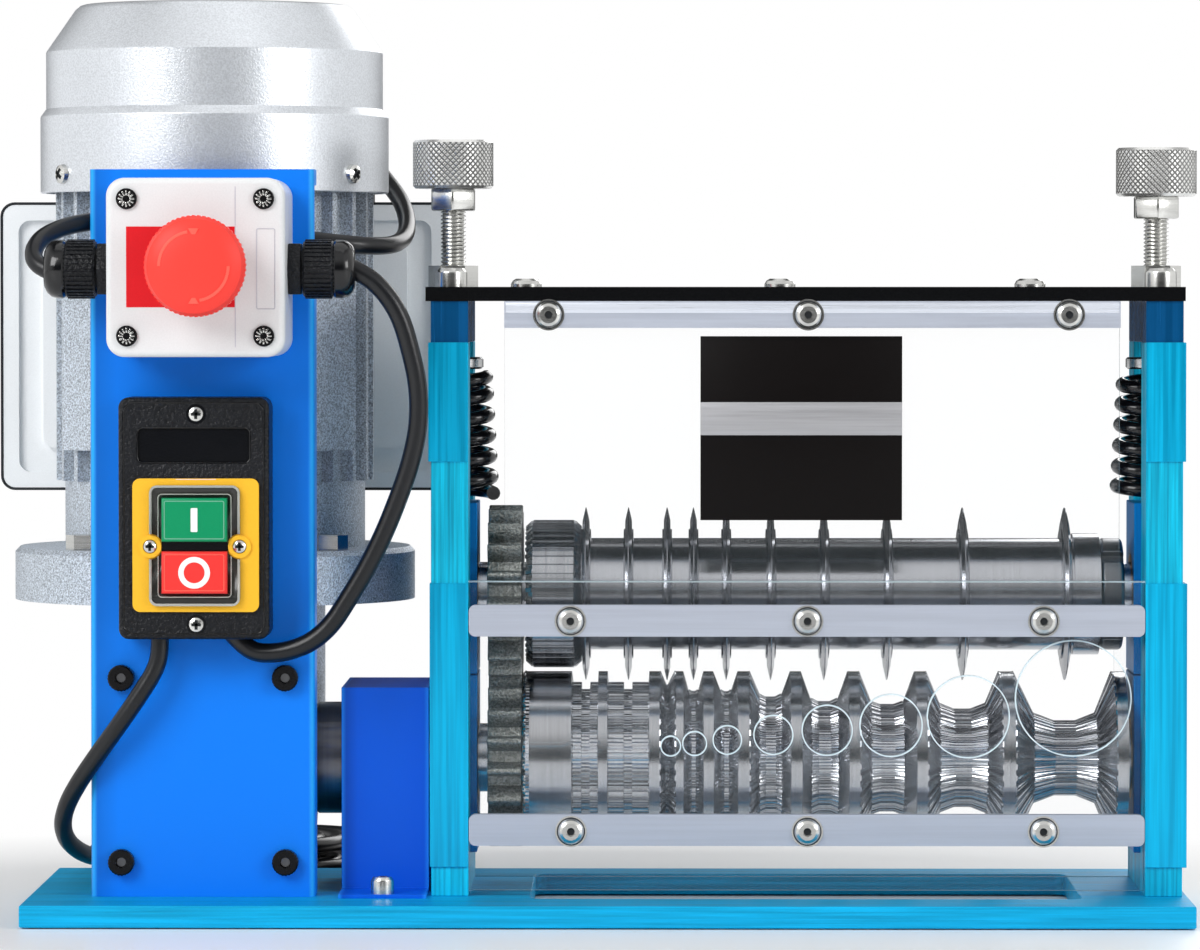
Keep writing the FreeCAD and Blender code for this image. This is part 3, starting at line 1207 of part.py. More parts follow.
def mains_plug(start, way):
    """A moulded plug with a tapered strain relief, two blades and an earth pin."""
    relief = turned([(0, 0), (0, 4.6), (16, 7.5), (16, 0)], start, way)
    back = start + way * 16
    front, blade_end = back + way * PLUG_LONG, back + way * (PLUG_LONG + PRONG_LONG)
    body = rounded_box(start.x - PLUG_HALF_WIDTH, min(back.y, front.y), start.z - PLUG_HALF_HEIGHT,
                       start.x + PLUG_HALF_WIDTH, max(back.y, front.y), start.z + PLUG_HALF_HEIGHT, 6, Y_AXIS)
    prongs = [rod(2.4, front + Z_AXIS * 6.2, PRONG_LONG + 2, way)]
    for x in (start.x - 6.35, start.x + 6.35):
        prongs.append(box(x - 0.75, min(front.y, blade_end.y), start.z - 4.2,
                          x + 0.75, max(front.y, blade_end.y), start.z + 2.1))
    return feature("mains_plug", relief.fuse([body] + prongs).removeSplitter())


coil_end, coil_way = mains_coil()
mains_plug(coil_end, coil_way)

# Move the origin to the middle of the footprint, check every object, then write each sub-part
for item in nodes.values():
    item.Placement.Base = item.Placement.Base - V(size("origin_x"), size("origin_y"), 0)
doc.recompute()
failed = [o.Name for o in doc.Objects if "Invalid" in o.State or "Error" in o.State]
if failed:
    raise RuntimeError(f"objects failed: {failed}")
for name, item in nodes.items():
    shape = item.Shape
    if shape.isNull() or not shape.isValid():
        raise RuntimeError(f"{name} has no valid shape")
    shape.exportStep(f"parts/{name}.step")
    print(f"{name}: {len(shape.Solids)} solid(s), volume {shape.Volume:.0f}, {shape.BoundBox}")
print(f"{len(nodes)} nodes")
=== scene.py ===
"""Dresses the wire stripping machine: finishes, cords, knurls, threads, controls, studio light and camera."""
import json
import logging
import math
from contextlib import contextmanager
from dataclasses import dataclass, field
from enum import Enum
from typing import Callable, Iterable, Iterator, Optional, Sequence

import bpy
from mathutils import Matrix, Vector

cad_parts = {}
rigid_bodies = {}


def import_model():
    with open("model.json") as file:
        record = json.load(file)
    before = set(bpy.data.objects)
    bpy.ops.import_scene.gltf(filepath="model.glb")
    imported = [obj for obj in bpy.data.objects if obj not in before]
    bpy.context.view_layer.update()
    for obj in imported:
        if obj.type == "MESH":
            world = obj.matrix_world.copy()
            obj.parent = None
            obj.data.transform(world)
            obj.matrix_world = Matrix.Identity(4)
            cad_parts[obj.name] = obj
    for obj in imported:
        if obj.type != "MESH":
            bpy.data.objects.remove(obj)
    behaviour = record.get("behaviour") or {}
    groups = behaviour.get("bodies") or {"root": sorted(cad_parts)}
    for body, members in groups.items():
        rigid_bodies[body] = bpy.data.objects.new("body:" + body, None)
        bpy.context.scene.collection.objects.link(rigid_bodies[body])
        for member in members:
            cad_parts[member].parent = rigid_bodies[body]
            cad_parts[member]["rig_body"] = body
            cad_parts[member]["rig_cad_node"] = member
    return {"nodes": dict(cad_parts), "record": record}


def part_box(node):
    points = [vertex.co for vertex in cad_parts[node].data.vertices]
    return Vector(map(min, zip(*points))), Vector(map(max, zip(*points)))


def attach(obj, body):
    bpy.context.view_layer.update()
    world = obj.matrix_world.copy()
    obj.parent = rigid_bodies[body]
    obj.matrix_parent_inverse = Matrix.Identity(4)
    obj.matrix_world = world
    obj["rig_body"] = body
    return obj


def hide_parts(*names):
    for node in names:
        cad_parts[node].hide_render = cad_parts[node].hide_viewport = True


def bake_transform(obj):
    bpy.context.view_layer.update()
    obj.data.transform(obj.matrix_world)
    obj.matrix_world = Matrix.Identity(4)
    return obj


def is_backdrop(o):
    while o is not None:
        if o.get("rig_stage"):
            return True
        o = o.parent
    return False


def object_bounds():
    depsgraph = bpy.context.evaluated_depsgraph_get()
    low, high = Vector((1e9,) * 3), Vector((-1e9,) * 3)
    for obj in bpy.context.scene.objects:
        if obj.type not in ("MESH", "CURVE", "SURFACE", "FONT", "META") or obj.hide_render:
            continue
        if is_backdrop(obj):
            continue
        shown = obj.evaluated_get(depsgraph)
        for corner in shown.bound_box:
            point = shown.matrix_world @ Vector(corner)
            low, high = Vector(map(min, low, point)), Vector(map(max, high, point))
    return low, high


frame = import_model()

CAD_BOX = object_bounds()
LOG = logging.getLogger("wire_stripper")
MM = 0.001
ORIGIN = (9.9, -24.4, 0.0)  # the layout's origin in the frame, in millimetres
BEVEL_ANGLE, SHADE_ANGLE = 40.0, 30.0
FINE_ANGLE = 20.0
WHITE = (1, 1, 1, 1)
Point = tuple[float, float, float]
Colour = tuple[float, float, float]
Pairs = Sequence[tuple[float, float]]
Looks = Sequence[tuple[str, str, float]]
Piece = bpy.types.Object
Socket = bpy.types.NodeSocket
Material = bpy.types.Material


def srgb(red: int, green: int, blue: int) -> Colour:
    """Linear colour of an sRGB triple from 0 to 255."""
    def linear(value: float) -> float:
        """One channel, linear."""
        share = value / 255
        return share / 12.92 if share <= 0.04045 else ((share + 0.055) / 1.055) ** 2.4
    return linear(red), linear(green), linear(blue)


class Axis(Enum):
    """The three axes of the frame, as unit directions."""
    X = (1.0, 0.0, 0.0)
    Y = (0.0, 1.0, 0.0)
    Z = (0.0, 0.0, 1.0)

    @property
    def vector(self) -> Vector:
        """The direction as a vector."""
        return Vector(self.value)

    @property
    def index(self) -> int:
        """0 for X, 1 for Y, 2 for Z."""
        return self.value.index(1.0)


RIGHTWARD, BACKWARD, UPWARD = Axis.X.vector, Axis.Y.vector, Axis.Z.vector
FORWARD = BACKWARD * -1


class Signal:
    """A shader value that Python expressions can work with."""

    def __init__(self, tree: bpy.types.NodeTree, socket: Socket) -> None:
        """Wrap a node's output socket."""
        self.tree = tree
        self.socket = socket

    def math(self, operation: str, *others: "Signal | float") -> "Signal":
        """Add a Math node.

        Args:
            operation: the Math node's operation.
            others: the second and third inputs.

        Returns:
            The node's value.
        """
        node = self.tree.nodes.new("ShaderNodeMath")
        node.operation = operation
        for number, value in enumerate((self, *others)):
            if isinstance(value, Signal):
                self.tree.links.new(value.socket, node.inputs[number])
            else:
                node.inputs[number].default_value = value
        return Signal(self.tree, node.outputs[0])

    def __add__(self, other: "Signal | float") -> "Signal":
        """Sum."""
        return self.math("ADD", other)

    __radd__ = __add__

    def __sub__(self, other: "Signal | float") -> "Signal":
        """Difference."""
        return self.math("SUBTRACT", other)

    def __rsub__(self, other: float) -> "Signal":
        """Difference from a number."""
        return (self * -1.0) + other

    def __mul__(self, other: "Signal | float") -> "Signal":
        """Product."""
        return self.math("MULTIPLY", other)

    __rmul__ = __mul__

    def __abs__(self) -> "Signal":
        """Size without sign."""
        return self.math("ABSOLUTE")

    def above(self, limit: float) -> "Signal":
        """1 where the value is over the limit."""
        return self.math("GREATER_THAN", limit)

    def clamped(self) -> "Signal":
        """The value kept between 0 and 1."""
        return self.math("MULTIPLY_ADD", 1.0, 0.0).math("MINIMUM", 1.0).math("MAXIMUM", 0.0)


class Shader:
    """One material's node tree round a Principled BSDF."""

    def __init__(self, name: str) -> None:
        """Start an empty material."""
        self.material = bpy.data.materials.new(name)
        self.material.use_nodes = True
        self.tree = self.material.node_tree
        self.surface = self.tree.nodes["Principled BSDF"]
        self.spot = self.node("ShaderNodeTexCoord").outputs["Object"]

    def feed(self, entry: Socket, value: object) -> None:
        """Link an input to a signal or a socket, or set it."""
        if isinstance(value, Signal):
            value = value.socket
        if isinstance(value, Socket):
            self.tree.links.new(value, entry)
        else:
            entry.default_value = value
    def node(self, kind: str, settings: Optional[dict] = None, **sockets: object) -> bpy.types.Node:
        """Add any node.

        Args:
            kind: the node's type.
            settings: properties set before the sockets.
            sockets: input values or links, with underscores for spaces.

        Returns:
            The node.
        """
        node = self.tree.nodes.new(kind)
        for name, value in (settings or {}).items():
            setattr(node, name, value)
        for name, value in sockets.items():
            self.feed(node.inputs[name.replace("_", " ")], value)
        return node

    def signal(self, socket: Socket) -> Signal:
        """Wrap a socket."""
        return Signal(self.tree, socket)

    def noise(self, scale: float, detail: float = 4.0, stretch: Point = (1, 1, 1), rough: float = 0.5,
              gain: float = 1.0) -> Signal:
        """Noise on object coordinates.

        Args:
            scale: cells in a metre.
            detail: octaves.
            stretch: share of the scale along each axis.
            rough: strength of the finer octaves.
            gain: contrast round the middle.

        Returns:
            The noise, from 0 to 1.
        """
        spot = self.node("ShaderNodeMapping", Vector=self.spot, Scale=stretch).outputs[0]
        made = self.node("ShaderNodeTexNoise", Vector=spot, Scale=scale, Detail=detail, Roughness=rough)
        value = self.signal(made.outputs[0])
        return value if gain == 1.0 else ((value - 0.5) * gain + 0.5).clamped()

    def axis(self, axis: Axis) -> Signal:
        """One object coordinate in metres."""
        split = self.node("ShaderNodeSeparateXYZ", Vector=self.spot)
        return self.signal(split.outputs[axis.index])

    def facing(self, axis: Axis) -> Signal:
        """How squarely a face looks along an axis, from 0 to 1."""
        normal = self.node("ShaderNodeNewGeometry").outputs["True Normal"]
        split = self.node("ShaderNodeSeparateXYZ", Vector=normal)
        return abs(self.signal(split.outputs[axis.index]))

    def blend(self, share: Signal, first: "Colour | Socket", second: "Colour | Socket") -> Socket:
        """A colour between two by a share."""
        mix = self.node("ShaderNodeMix", {"data_type": "RGBA"})
        for number, value in ((0, share), (6, first), (7, second)):
            self.feed(mix.inputs[number], (*value, 1) if isinstance(value, tuple) else value)
        return mix.outputs[2]

    def tinted(self, tone: Signal, colour: Colour, contrast: float) -> Socket:
        """A colour that a tone darkens and brightens."""
        return self.blend(tone, shade(colour, 1 - contrast), shade(colour, 1 + contrast))

    def line(self, axis: Axis, at: float, width: float) -> Signal:
        """1 at a plane across an axis, falling to 0 at a distance.

        Args:
            axis: the axis that the plane crosses.
            at: the plane's place in layout millimetres.
            width: the distance in millimetres.

        Returns:
            The share.
        """
        level = (at + ORIGIN[axis.index]) * MM
        away = abs(self.axis(axis) - level)
        return (1.0 - away * (1 / (width * MM))).clamped()

    def set(self, **sockets: object) -> None:
        """Set or link inputs of the surface, with underscores for spaces."""
        for name, value in sockets.items():
            self.feed(self.surface.inputs[name.replace("_", " ")], value)

    def bump(self, height: Signal, distance: float, strength: float = 1.0) -> None:
        """Feed a bump to the surface's normal.

        Args:
            height: from 0 to 1.
            distance: the height's real size in metres.
            strength: the bump's share.
        """
        made = self.node("ShaderNodeBump", Height=height, Distance=distance, Strength=strength)
        self.set(Normal=made.outputs[0])


def shade(colour: Colour, factor: float) -> Colour:
    """A colour made lighter or darker."""
    return tuple(min(1.0, channel * factor) for channel in colour)


@dataclass(frozen=True)
class Finish:
    """A named look with its main colour."""
    name: str
    colour: Colour

    def material(self) -> Material:
        """Build the material."""
        shader = Shader(self.name)
        self.paint(shader)
        return shader.material

    def paint(self, shader: Shader) -> None:
        """Set the surface."""
        raise NotImplementedError(self.name)


@dataclass(frozen=True)
class Brushed(Finish):
    """Metal with straight brush marks along one axis, anodised or bare."""
    grain: Axis = Axis.Z
    roughness: float = 0.32
    metallic: float = 1.0
    contrast: float = 0.22
    marks: float = 1400.0
    depth: float = 0.00003

    def paint(self, shader: Shader) -> None:
        """Set the surface."""
        stretch = tuple(0.02 if i == self.grain.index else 1.0 for i in range(3))
        fine = shader.noise(self.marks, 3.0, stretch, 0.5, 3.6)
        broad = shader.noise(self.marks / 7, 4.0, stretch, 0.5, 2.8)
        streaks = (fine * 0.6 + broad * 0.4).clamped()
        cloud = shader.noise(22.0, 3.0)
        tone = (streaks * 0.8 + cloud * 0.2).clamped()
        colour = shader.tinted(tone, self.colour, self.contrast)
        shader.set(Base_Color=colour, Metallic=self.metallic, Specular_IOR_Level=0.2,
                   Roughness=(streaks * 0.16 + (self.roughness - 0.08)).clamped())
        shader.bump(streaks, self.depth, 0.6)


@dataclass(frozen=True)
class Turned(Finish):
    """Metal turned on a lathe: fine rings across one axis, with darker worn patches."""
    axis: Axis = Axis.X
    roughness: float = 0.2
    contrast: float = 0.18
    rings: float = 1800.0

    def paint(self, shader: Shader) -> None:
        """Set the surface."""
        along = tuple(1.0 if i == self.axis.index else 0.02 for i in range(3))
        rings = shader.noise(self.rings, 2.0, along)
        wear = shader.noise(70.0, 5.0, (1, 1, 1), 0.6)
        tone = (rings * 0.5 + wear * 0.5).clamped()
        colour = shader.tinted(tone, self.colour, self.contrast)
        shader.set(Base_Color=colour, Metallic=1.0,
                   Roughness=(wear * 0.18 + rings * 0.1 + (self.roughness - 0.12)).clamped())
        shader.bump(rings, 0.00002, 0.5)


@dataclass(frozen=True)
class Knurled(Finish):
    """Turned steel with serrations in its deep grooves and on chosen bands, round an axis along X; the serrations'
    colour is striped lighter and darker across each tooth as painted highlight and painted shade.
    """
    axis_y: float
    axis_z: float
    crest: float
    bands: tuple[tuple[float, float], ...] = ()
    teeth: float = 120.0
    roughness: float = 0.16
    contrast: float = 0.3

    def paint(self, shader: Shader) -> None:
        """Set the surface."""
        across = shader.axis(Axis.Y) - (self.axis_y + ORIGIN[1]) * MM
        up = shader.axis(Axis.Z) - self.axis_z * MM
        angle = up.math("ARCTAN2", across)
        reach = (across * across + up * up).math("SQRT")
        wave = abs((angle * (self.teeth / (math.tau))).math("FRACT") - 0.5) * 2.0
        deep = 1.0 - reach.above((self.crest - 0.6) * MM)
        marked = deep
        for low, high in self.bands:
            middle, half = (low + high) / 2, (high - low) / 2
            marked = marked.math("MAXIMUM", shader.line(Axis.X, middle, half).above(0.001))
        rings = shader.noise(1500.0, 2.0, (1.0, 0.02, 0.02))
        wear = shader.noise(80.0, 5.0, (1, 1, 1), 0.6)
        # the serration wave also lightens and darkens the colour across each tooth: painted highlight and painted shade
        tone = (rings * 0.4 + wear * 0.3 + wave * marked * 0.5).clamped()
        colour = shader.tinted(tone, self.colour, self.contrast)
        shader.set(Base_Color=colour, Metallic=1.0, Roughness=(wear * 0.16 + (self.roughness - 0.05)).clamped())
        shader.bump(wave * marked + rings * 0.06, 0.0004, 0.8)


@dataclass(frozen=True)
class Diamonds(Finish):
    """Nickel-plated steel with a diamond knurl on its wall, round an upright axis; the knurl's grooves are painted dark
    as painted shade and its points lighter as painted highlight.
    """
    axis_x: float
    axis_y: float
    pitch: float = 2.3
    radius: float = 15.8

    def paint(self, shader: Shader) -> None:
        """Set the surface."""
        across = shader.axis(Axis.X) - (self.axis_x + ORIGIN[0]) * MM
        along = shader.axis(Axis.Y) - (self.axis_y + ORIGIN[1]) * MM
        count = round(math.tau * self.radius / self.pitch)
        turn = along.math("ARCTAN2", across) * (count / (math.tau))
        rise = shader.axis(Axis.Z) * (1 / (self.pitch * MM))
        left = abs((turn + rise + 100.0).math("FRACT") - 0.5) * 2.0
        right = abs((turn - rise + 900.0).math("FRACT") - 0.5) * 2.0
        wall = 1.0 - shader.facing(Axis.Z).above(0.4)
        point = (1.0 - left.math("MAXIMUM", right)) * 1.9
        height = (point.clamped() * wall + (1.0 - wall)).clamped()
        wear = shader.noise(90.0, 4.0, (1, 1, 1), 0.6, 2.0)
        tone = (height * 0.85 + wear * 0.15).clamped()
        # painted shade in the knurl's grooves, painted highlight on its points
        colour = shader.blend(tone, shade(self.colour, 0.08), shade(self.colour, 1.12))
        shader.set(Base_Color=colour, Metallic=0.85, Roughness=(wear * 0.14 + 0.2).clamped())
        shader.bump(height, 0.0004, 0.9)


@dataclass(frozen=True)
class Paint(Finish):
    """Sprayed paint: a soft orange peel, and flakes where the paint is metallic."""
    roughness: float = 0.35
    metallic: float = 0.0
    flakes: float = 0.0
    flake_size: float = 2600.0
    peel: float = 0.00004
    coat: float = 0.0
    spread: float = 0.45

    def paint(self, shader: Shader) -> None:
        """Set the surface."""
        peel = shader.noise(900.0, 3.0)
        cloud = shader.noise(16.0, 3.0)
        specks = shader.noise(self.flake_size, 1.0, (1, 1, 1), 0.5, 3.0)
        tone = (specks * self.flakes + cloud * (1 - self.flakes)).clamped()
        colour = shader.tinted(tone, self.colour, 0.05 + self.flakes * self.spread)
        shader.set(Base_Color=colour, Metallic=self.metallic, Specular_IOR_Level=0.2, Coat_Weight=self.coat,
                   Coat_Roughness=0.12, Roughness=(peel * 0.1 + (self.roughness - 0.05)).clamped())
        shader.bump((peel * (1 - self.flakes) + specks * self.flakes).clamped(), self.peel, 0.5)


@dataclass(frozen=True)
class FoldedSheet(Finish):
    """Painted sheet metal with painted highlights along the upright lines of its bends, and painted shade that darkens
    it towards one side.
    """
    # the colour of the painted highlight along each bend
    bright: Colour
    bends: tuple[float, ...]
    shade_from: float
    shade_to: float
    roughness: float = 0.38

    def paint(self, shader: Shader) -> None:
        """Set the surface."""
        peel = shader.noise(900.0, 3.0)
        start = (self.shade_from + ORIGIN[0]) * MM
        share = ((shader.axis(Axis.X) - start) * (1 / ((self.shade_to - self.shade_from) * MM))).clamped()
        # painted shade: darker before shade_from, slightly lighter after shade_to
        colour = shader.blend(share, shade(self.colour, 0.72), shade(self.colour, 1.06))
        for bend in self.bends:
            # painted highlight along each bend
            colour = shader.blend(shader.line(Axis.X, bend, 1.5) * 0.9, colour, self.bright)
        shader.set(Base_Color=colour, Specular_IOR_Level=0.2,
                   Roughness=(peel * 0.1 + (self.roughness - 0.05)).clamped())
        shader.bump(peel, 0.00003, 0.5)


@dataclass(frozen=True)
class Moulded(Finish):
    """Moulded plastic or rubber with its surface texture."""
    roughness: float = 0.4
    texture: float = 0.00005
    grain: float = 1500.0
    contrast: float = 0.06
    gloss: float = 0.25

    def paint(self, shader: Shader) -> None:
        """Set the surface."""
        grain = shader.noise(self.grain, 2.0, (1, 1, 1), 0.5, 2.5)
        cloud = shader.noise(30.0, 3.0)
        tone = (grain * 0.4 + cloud * 0.6).clamped()
        colour = shader.tinted(tone, self.colour, self.contrast)
        shader.set(Base_Color=colour, Specular_IOR_Level=self.gloss,
                   Roughness=(cloud * 0.12 + (self.roughness - 0.06)).clamped())
        shader.bump(grain, self.texture, 0.6)


@dataclass(frozen=True)
class ClearSheet(Finish):
    """Clear acrylic: faces nearly unseen, cut edges bright."""
    name: str
    edge: Colour = srgb(190, 222, 236)
    face_alpha: float = 0.012
    edge_alpha: float = 0.62

    def paint(self, shader: Shader) -> None:
        """Set the surface."""
        flat = shader.facing(Axis.Y).above(0.6)
        haze = shader.noise(9.0, 2.0)
        colour = shader.blend(flat, self.edge, self.colour)
        alpha = flat * (self.face_alpha - self.edge_alpha) + self.edge_alpha + haze * 0.008
        shader.set(Base_Color=colour, Alpha=alpha.clamped(), Roughness=0.04, IOR=1.49)


FINISHES = {look.name: look for look in (
    Brushed("blue_plate", srgb(6, 176, 228), Axis.Z, 0.42, 0.15, 0.6, 700.0, 0.0003),
    Brushed("base_blue", srgb(4, 164, 214), Axis.X, 0.42, 0.15, 0.4, 700.0, 0.0003),
    Brushed("dark_blue", srgb(4, 84, 138), Axis.Z, 0.25, 0.35, 0.3, 400.0),
    Brushed("polished_blue", srgb(10, 176, 230), Axis.Z, 0.2, 0.3, 0.4, 600.0, 0.00006),
    Brushed("block_blue", srgb(0, 116, 186), Axis.Z, 0.4, 0.4, 0.16),
    # column and coupling cover: painted highlights on the bends, painted shade towards the left
    FoldedSheet("column_blue", srgb(0, 120, 234), srgb(44, 178, 252), (-199.6, -114.6), -201.0, -190.0),
    FoldedSheet("cover_blue", srgb(0, 92, 214), srgb(30, 140, 240), (-104.0, -70.6), -104.0, -98.0),
    Paint("black_plate", srgb(8, 9, 11), 0.22, 0.0, 0.0),
    Turned("bronze", srgb(176, 132, 66), Axis.X, 0.35),
    Paint("spring_black", srgb(12, 13, 17), 0.2, 0.0, 0.0, 2600.0, 0.00002, 0.5),
    Turned("dark_steel", srgb(112, 113, 116), Axis.X, 0.3, 0.4, 900.0),
    Turned("drum_steel", srgb(178, 180, 184), Axis.X, 0.18, 0.4, 900.0),
    Paint("gear_steel", srgb(134, 136, 132), 0.36, 0.8, 0.7, 1000.0, 0.0005, 0.0, 0.7),
    Turned("steel", srgb(190, 192, 197), Axis.X, 0.2, 0.2),
    Knurled("roller_steel", srgb(190, 192, 196), 5.0, 59.2, 34.0,
            ((-33.4, -31.0), (-14.0, -10.7), (-7.4, -4.4), (-0.1, 5.9))),
    Turned("blade_steel", srgb(150, 152, 158), Axis.X, 0.22, 0.3),
    Turned("zinc", srgb(208, 208, 205), Axis.Z, 0.2, 0.2),
    Turned("nickel", srgb(186, 187, 188), Axis.Z, 0.24, 0.3),
    Diamonds("left_knurl", srgb(226, 226, 224), -61.45, 5.0),
    Diamonds("right_knurl", srgb(226, 226, 224), 215.45, 5.0),
    Paint("black_screw", srgb(13, 13, 15), 0.28, 0.0, 0.0),
    Brushed("satin_aluminium", srgb(184, 190, 203), Axis.X, 0.42, 0.35, 0.06, 1200.0, 0.00002),
    # a lighter copy of satin_aluminium: painted highlight on the top bar's upper half
    Brushed("bright_aluminium", srgb(214, 219, 229), Axis.X, 0.3, 0.3, 0.05),
    Paint("cast_silver", srgb(186, 194, 203), 0.4, 0.4, 0.75, 1500.0, 0.0004, 0.0, 0.7),
    Paint("silver_paint", srgb(218, 222, 227), 0.34, 0.7, 0.5, 1400.0, 0.0001, 0.0, 0.3),
    Paint("pan_grey", srgb(240, 243, 245), 0.36, 0.0, 0.2, 2200.0, 0.00006, 0.0, 0.2),
    # dark paint: painted shade in sockets, gaps and cross recesses, and the terminal box's dark outline
    Paint("edge_dark", srgb(44, 47, 50), 0.4),
    ClearSheet("clear", srgb(225, 240, 248)),
    ClearSheet("clear_frame", srgb(226, 228, 220), srgb(214, 216, 206), 0.5, 0.75),
    # near-white strips and rings: painted highlight on the sheets' cut edges
    ClearSheet("sheet_edge", srgb(226, 242, 248), srgb(220, 240, 248), 0.8, 0.85),
    Moulded("white_plastic", srgb(221, 223, 224), 0.3, 0.00001),
    # a darker white: painted shade in the stop box's groove and frame lines
    Moulded("shade_white", srgb(196, 197, 206), 0.4, 0.00001),
    Moulded("black_plastic", srgb(15, 17, 22), 0.34, 0.0005, 800.0, 0.7, 0.25),
    Moulded("gloss_black", srgb(10, 11, 14), 0.14, 0.00001, 1500.0, 0.06, 0.5),
    # darker than the box's black: painted shade in recesses and between the keys
    Moulded("recess_black", srgb(7, 9, 14), 0.2, 0.00001),
    # dark grey: painted shadow under the clear switch cover
    Moulded("panel_grey", srgb(46, 46, 44), 0.24, 0.00001, 1500.0, 0.06, 0.5),
    Moulded("red_plastic", srgb(244, 64, 54), 0.42, 0.00002),
    # lighter copies of the keys' plastics: painted highlight on rims and raised arrows
    Moulded("rim_red", srgb(250, 96, 82), 0.38, 0.00002),
    Moulded("halt_red", srgb(236, 56, 52), 0.34, 0.00001),
    Moulded("label_red", srgb(214, 18, 30), 0.4, 0.00001),
    Moulded("pale_red", srgb(248, 214, 210), 0.4, 0.00001),
    Moulded("yellow_plastic", srgb(240, 184, 44), 0.4, 0.00001),
    Moulded("green_plastic", srgb(0, 142, 92), 0.34, 0.00001),
    Moulded("pale_green", srgb(110, 176, 146), 0.34, 0.00001),
    Moulded("mark_white", srgb(236, 238, 236), 0.4, 0.00001),
    Moulded("label_black", srgb(13, 10, 10), 0.38, 0.00001, 1500.0, 0.06, 0.1),
    Brushed("label_silver", srgb(168, 168, 171), Axis.X, 0.4, 0.3, 0.1),
    Moulded("cable", srgb(15, 17, 21), 0.3, 0.00002, 900.0, 0.06, 0.4),
)}
MADE: dict[str, Material] = {}


def finish(name: str) -> Material:
    """The material of a named finish, built once."""
    if name not in MADE:
        MADE[name] = FINISHES[name].material()
    return MADE[name]


def choose(piece: Piece) -> None:
    """Select one object alone and make it active."""
    if bpy.context.object and bpy.context.object.mode != "OBJECT":
        bpy.ops.object.mode_set(mode="OBJECT")
    bpy.ops.object.select_all(action="DESELECT")
    piece.select_set(True)
    bpy.context.view_layer.objects.active = piece


def settle(piece: Piece) -> Piece:
    """Move an object's place into its mesh."""
    choose(piece)
    bpy.ops.object.transform_apply(location=True, rotation=True, scale=True)
    return piece


def apply_all(piece: Piece) -> None:
    """Apply every modifier of a piece."""
    choose(piece)
    for modifier in list(piece.modifiers):
        bpy.ops.object.modifier_apply(modifier=modifier.name)


def smooth(piece: Piece, degrees: float = 32.0) -> Piece:
    """Shade a piece smooth below an angle."""
    choose(piece)
    bpy.ops.object.shade_smooth_by_angle(angle=math.radians(degrees))
    return piece


def bevelled(piece: Piece, width: float, degrees: float = 35.0) -> Piece:
    """Round a piece's edges sharper than an angle, by a width in metres."""
    bevel = piece.modifiers.new("edges", "BEVEL")
    bevel.width = width
    bevel.segments = 2
    bevel.limit_method = "ANGLE"
    bevel.angle_limit = math.radians(degrees)
    bevel.use_clamp_overlap = True
    apply_all(piece)
    return smooth(piece)


def edit_faces(piece: Piece, wanted: Callable[[bpy.types.MeshPolygon], bool]) -> None:
    """Enter edit mode with only the wanted faces selected."""
    choose(piece)
    bpy.context.tool_settings.mesh_select_mode = (False, False, True)
    mesh = piece.data
    mesh.vertices.foreach_set("select", [False] * len(mesh.vertices))
    mesh.edges.foreach_set("select", [False] * len(mesh.edges))
    mesh.polygons.foreach_set("select", [wanted(face) for face in mesh.polygons])
    bpy.ops.object.mode_set(mode="EDIT")


@contextmanager
def editing(piece: Piece) -> Iterator[None]:
    """Edit mode with all of a piece selected."""
    choose(piece)
    bpy.ops.object.mode_set(mode="EDIT")
    bpy.ops.mesh.select_all(action="SELECT")
    yield
    bpy.ops.object.mode_set(mode="OBJECT")


def added(name: str, data: bpy.types.ID) -> Piece:
    """Put a new object in the scene."""
    item = bpy.data.objects.new(name, data)
    bpy.context.scene.collection.objects.link(item)
    return item


def weighted(piece: Piece) -> Piece:
    """Let large faces rule the shading, so that small triangles beside them don't show."""
    weigh = piece.modifiers.new("shading", "WEIGHTED_NORMAL")
    weigh.keep_sharp = True
    apply_all(piece)
    return piece


def named(piece: Piece, name: str) -> Piece:
    """Name an object and its mesh."""
    piece.name = name
    piece.data.name = name
    return piece


def dress(piece: Piece, body: str, slot: str, look: str, nodes: Sequence[str] = ()) -> Piece:
    """Give a piece its body and finish.

    Args:
        piece: the finished object.
        body: the CAD body it rides on, or nothing for a piece that is left unattached.
        slot: the record's material slot; not used.
        look: the finish's name.
        nodes: CAD nodes that it stands for.

    Returns:
        The piece.
    """
    piece.data.materials.clear()
    piece.data.materials.append(finish(look))
    if body:
        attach(piece, body)
    if nodes:
        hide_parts(*nodes)
    LOG.info("%s rides on %s", piece.name, body or "two bodies")
    return piece


def slot_of(node: str) -> str:
    """The material slot that a CAD node has in the record."""
    return next(part["material_slot"] for part in frame["record"]["subparts"] if part["node"] == node)


def body_of(node: str) -> str:
    """The body that a CAD node is in."""
    bodies = frame["record"]["behaviour"]["bodies"]
    return next(body for body, members in bodies.items() if node in members)


def stand_in(piece: Piece, node: str, look: str) -> Piece:
    """Let a piece take a CAD node's place, on its body."""
    return dress(piece, body_of(node), slot_of(node), look, [node])


def block(name: str, low: Point, high: Point, edge: float = 0.0004) -> Piece:
    """A box between two corners in metres, with rounded edges."""
    centre = [(a + b) / 2 for a, b in zip(low, high)]
    bpy.ops.object.select_all(action="DESELECT")
    bpy.ops.mesh.primitive_cube_add(size=1, location=centre)
    piece = named(bpy.context.object, name)
    piece.scale = [b - a for a, b in zip(low, high)]
    settle(piece)
    return bevelled(piece, edge) if edge else piece


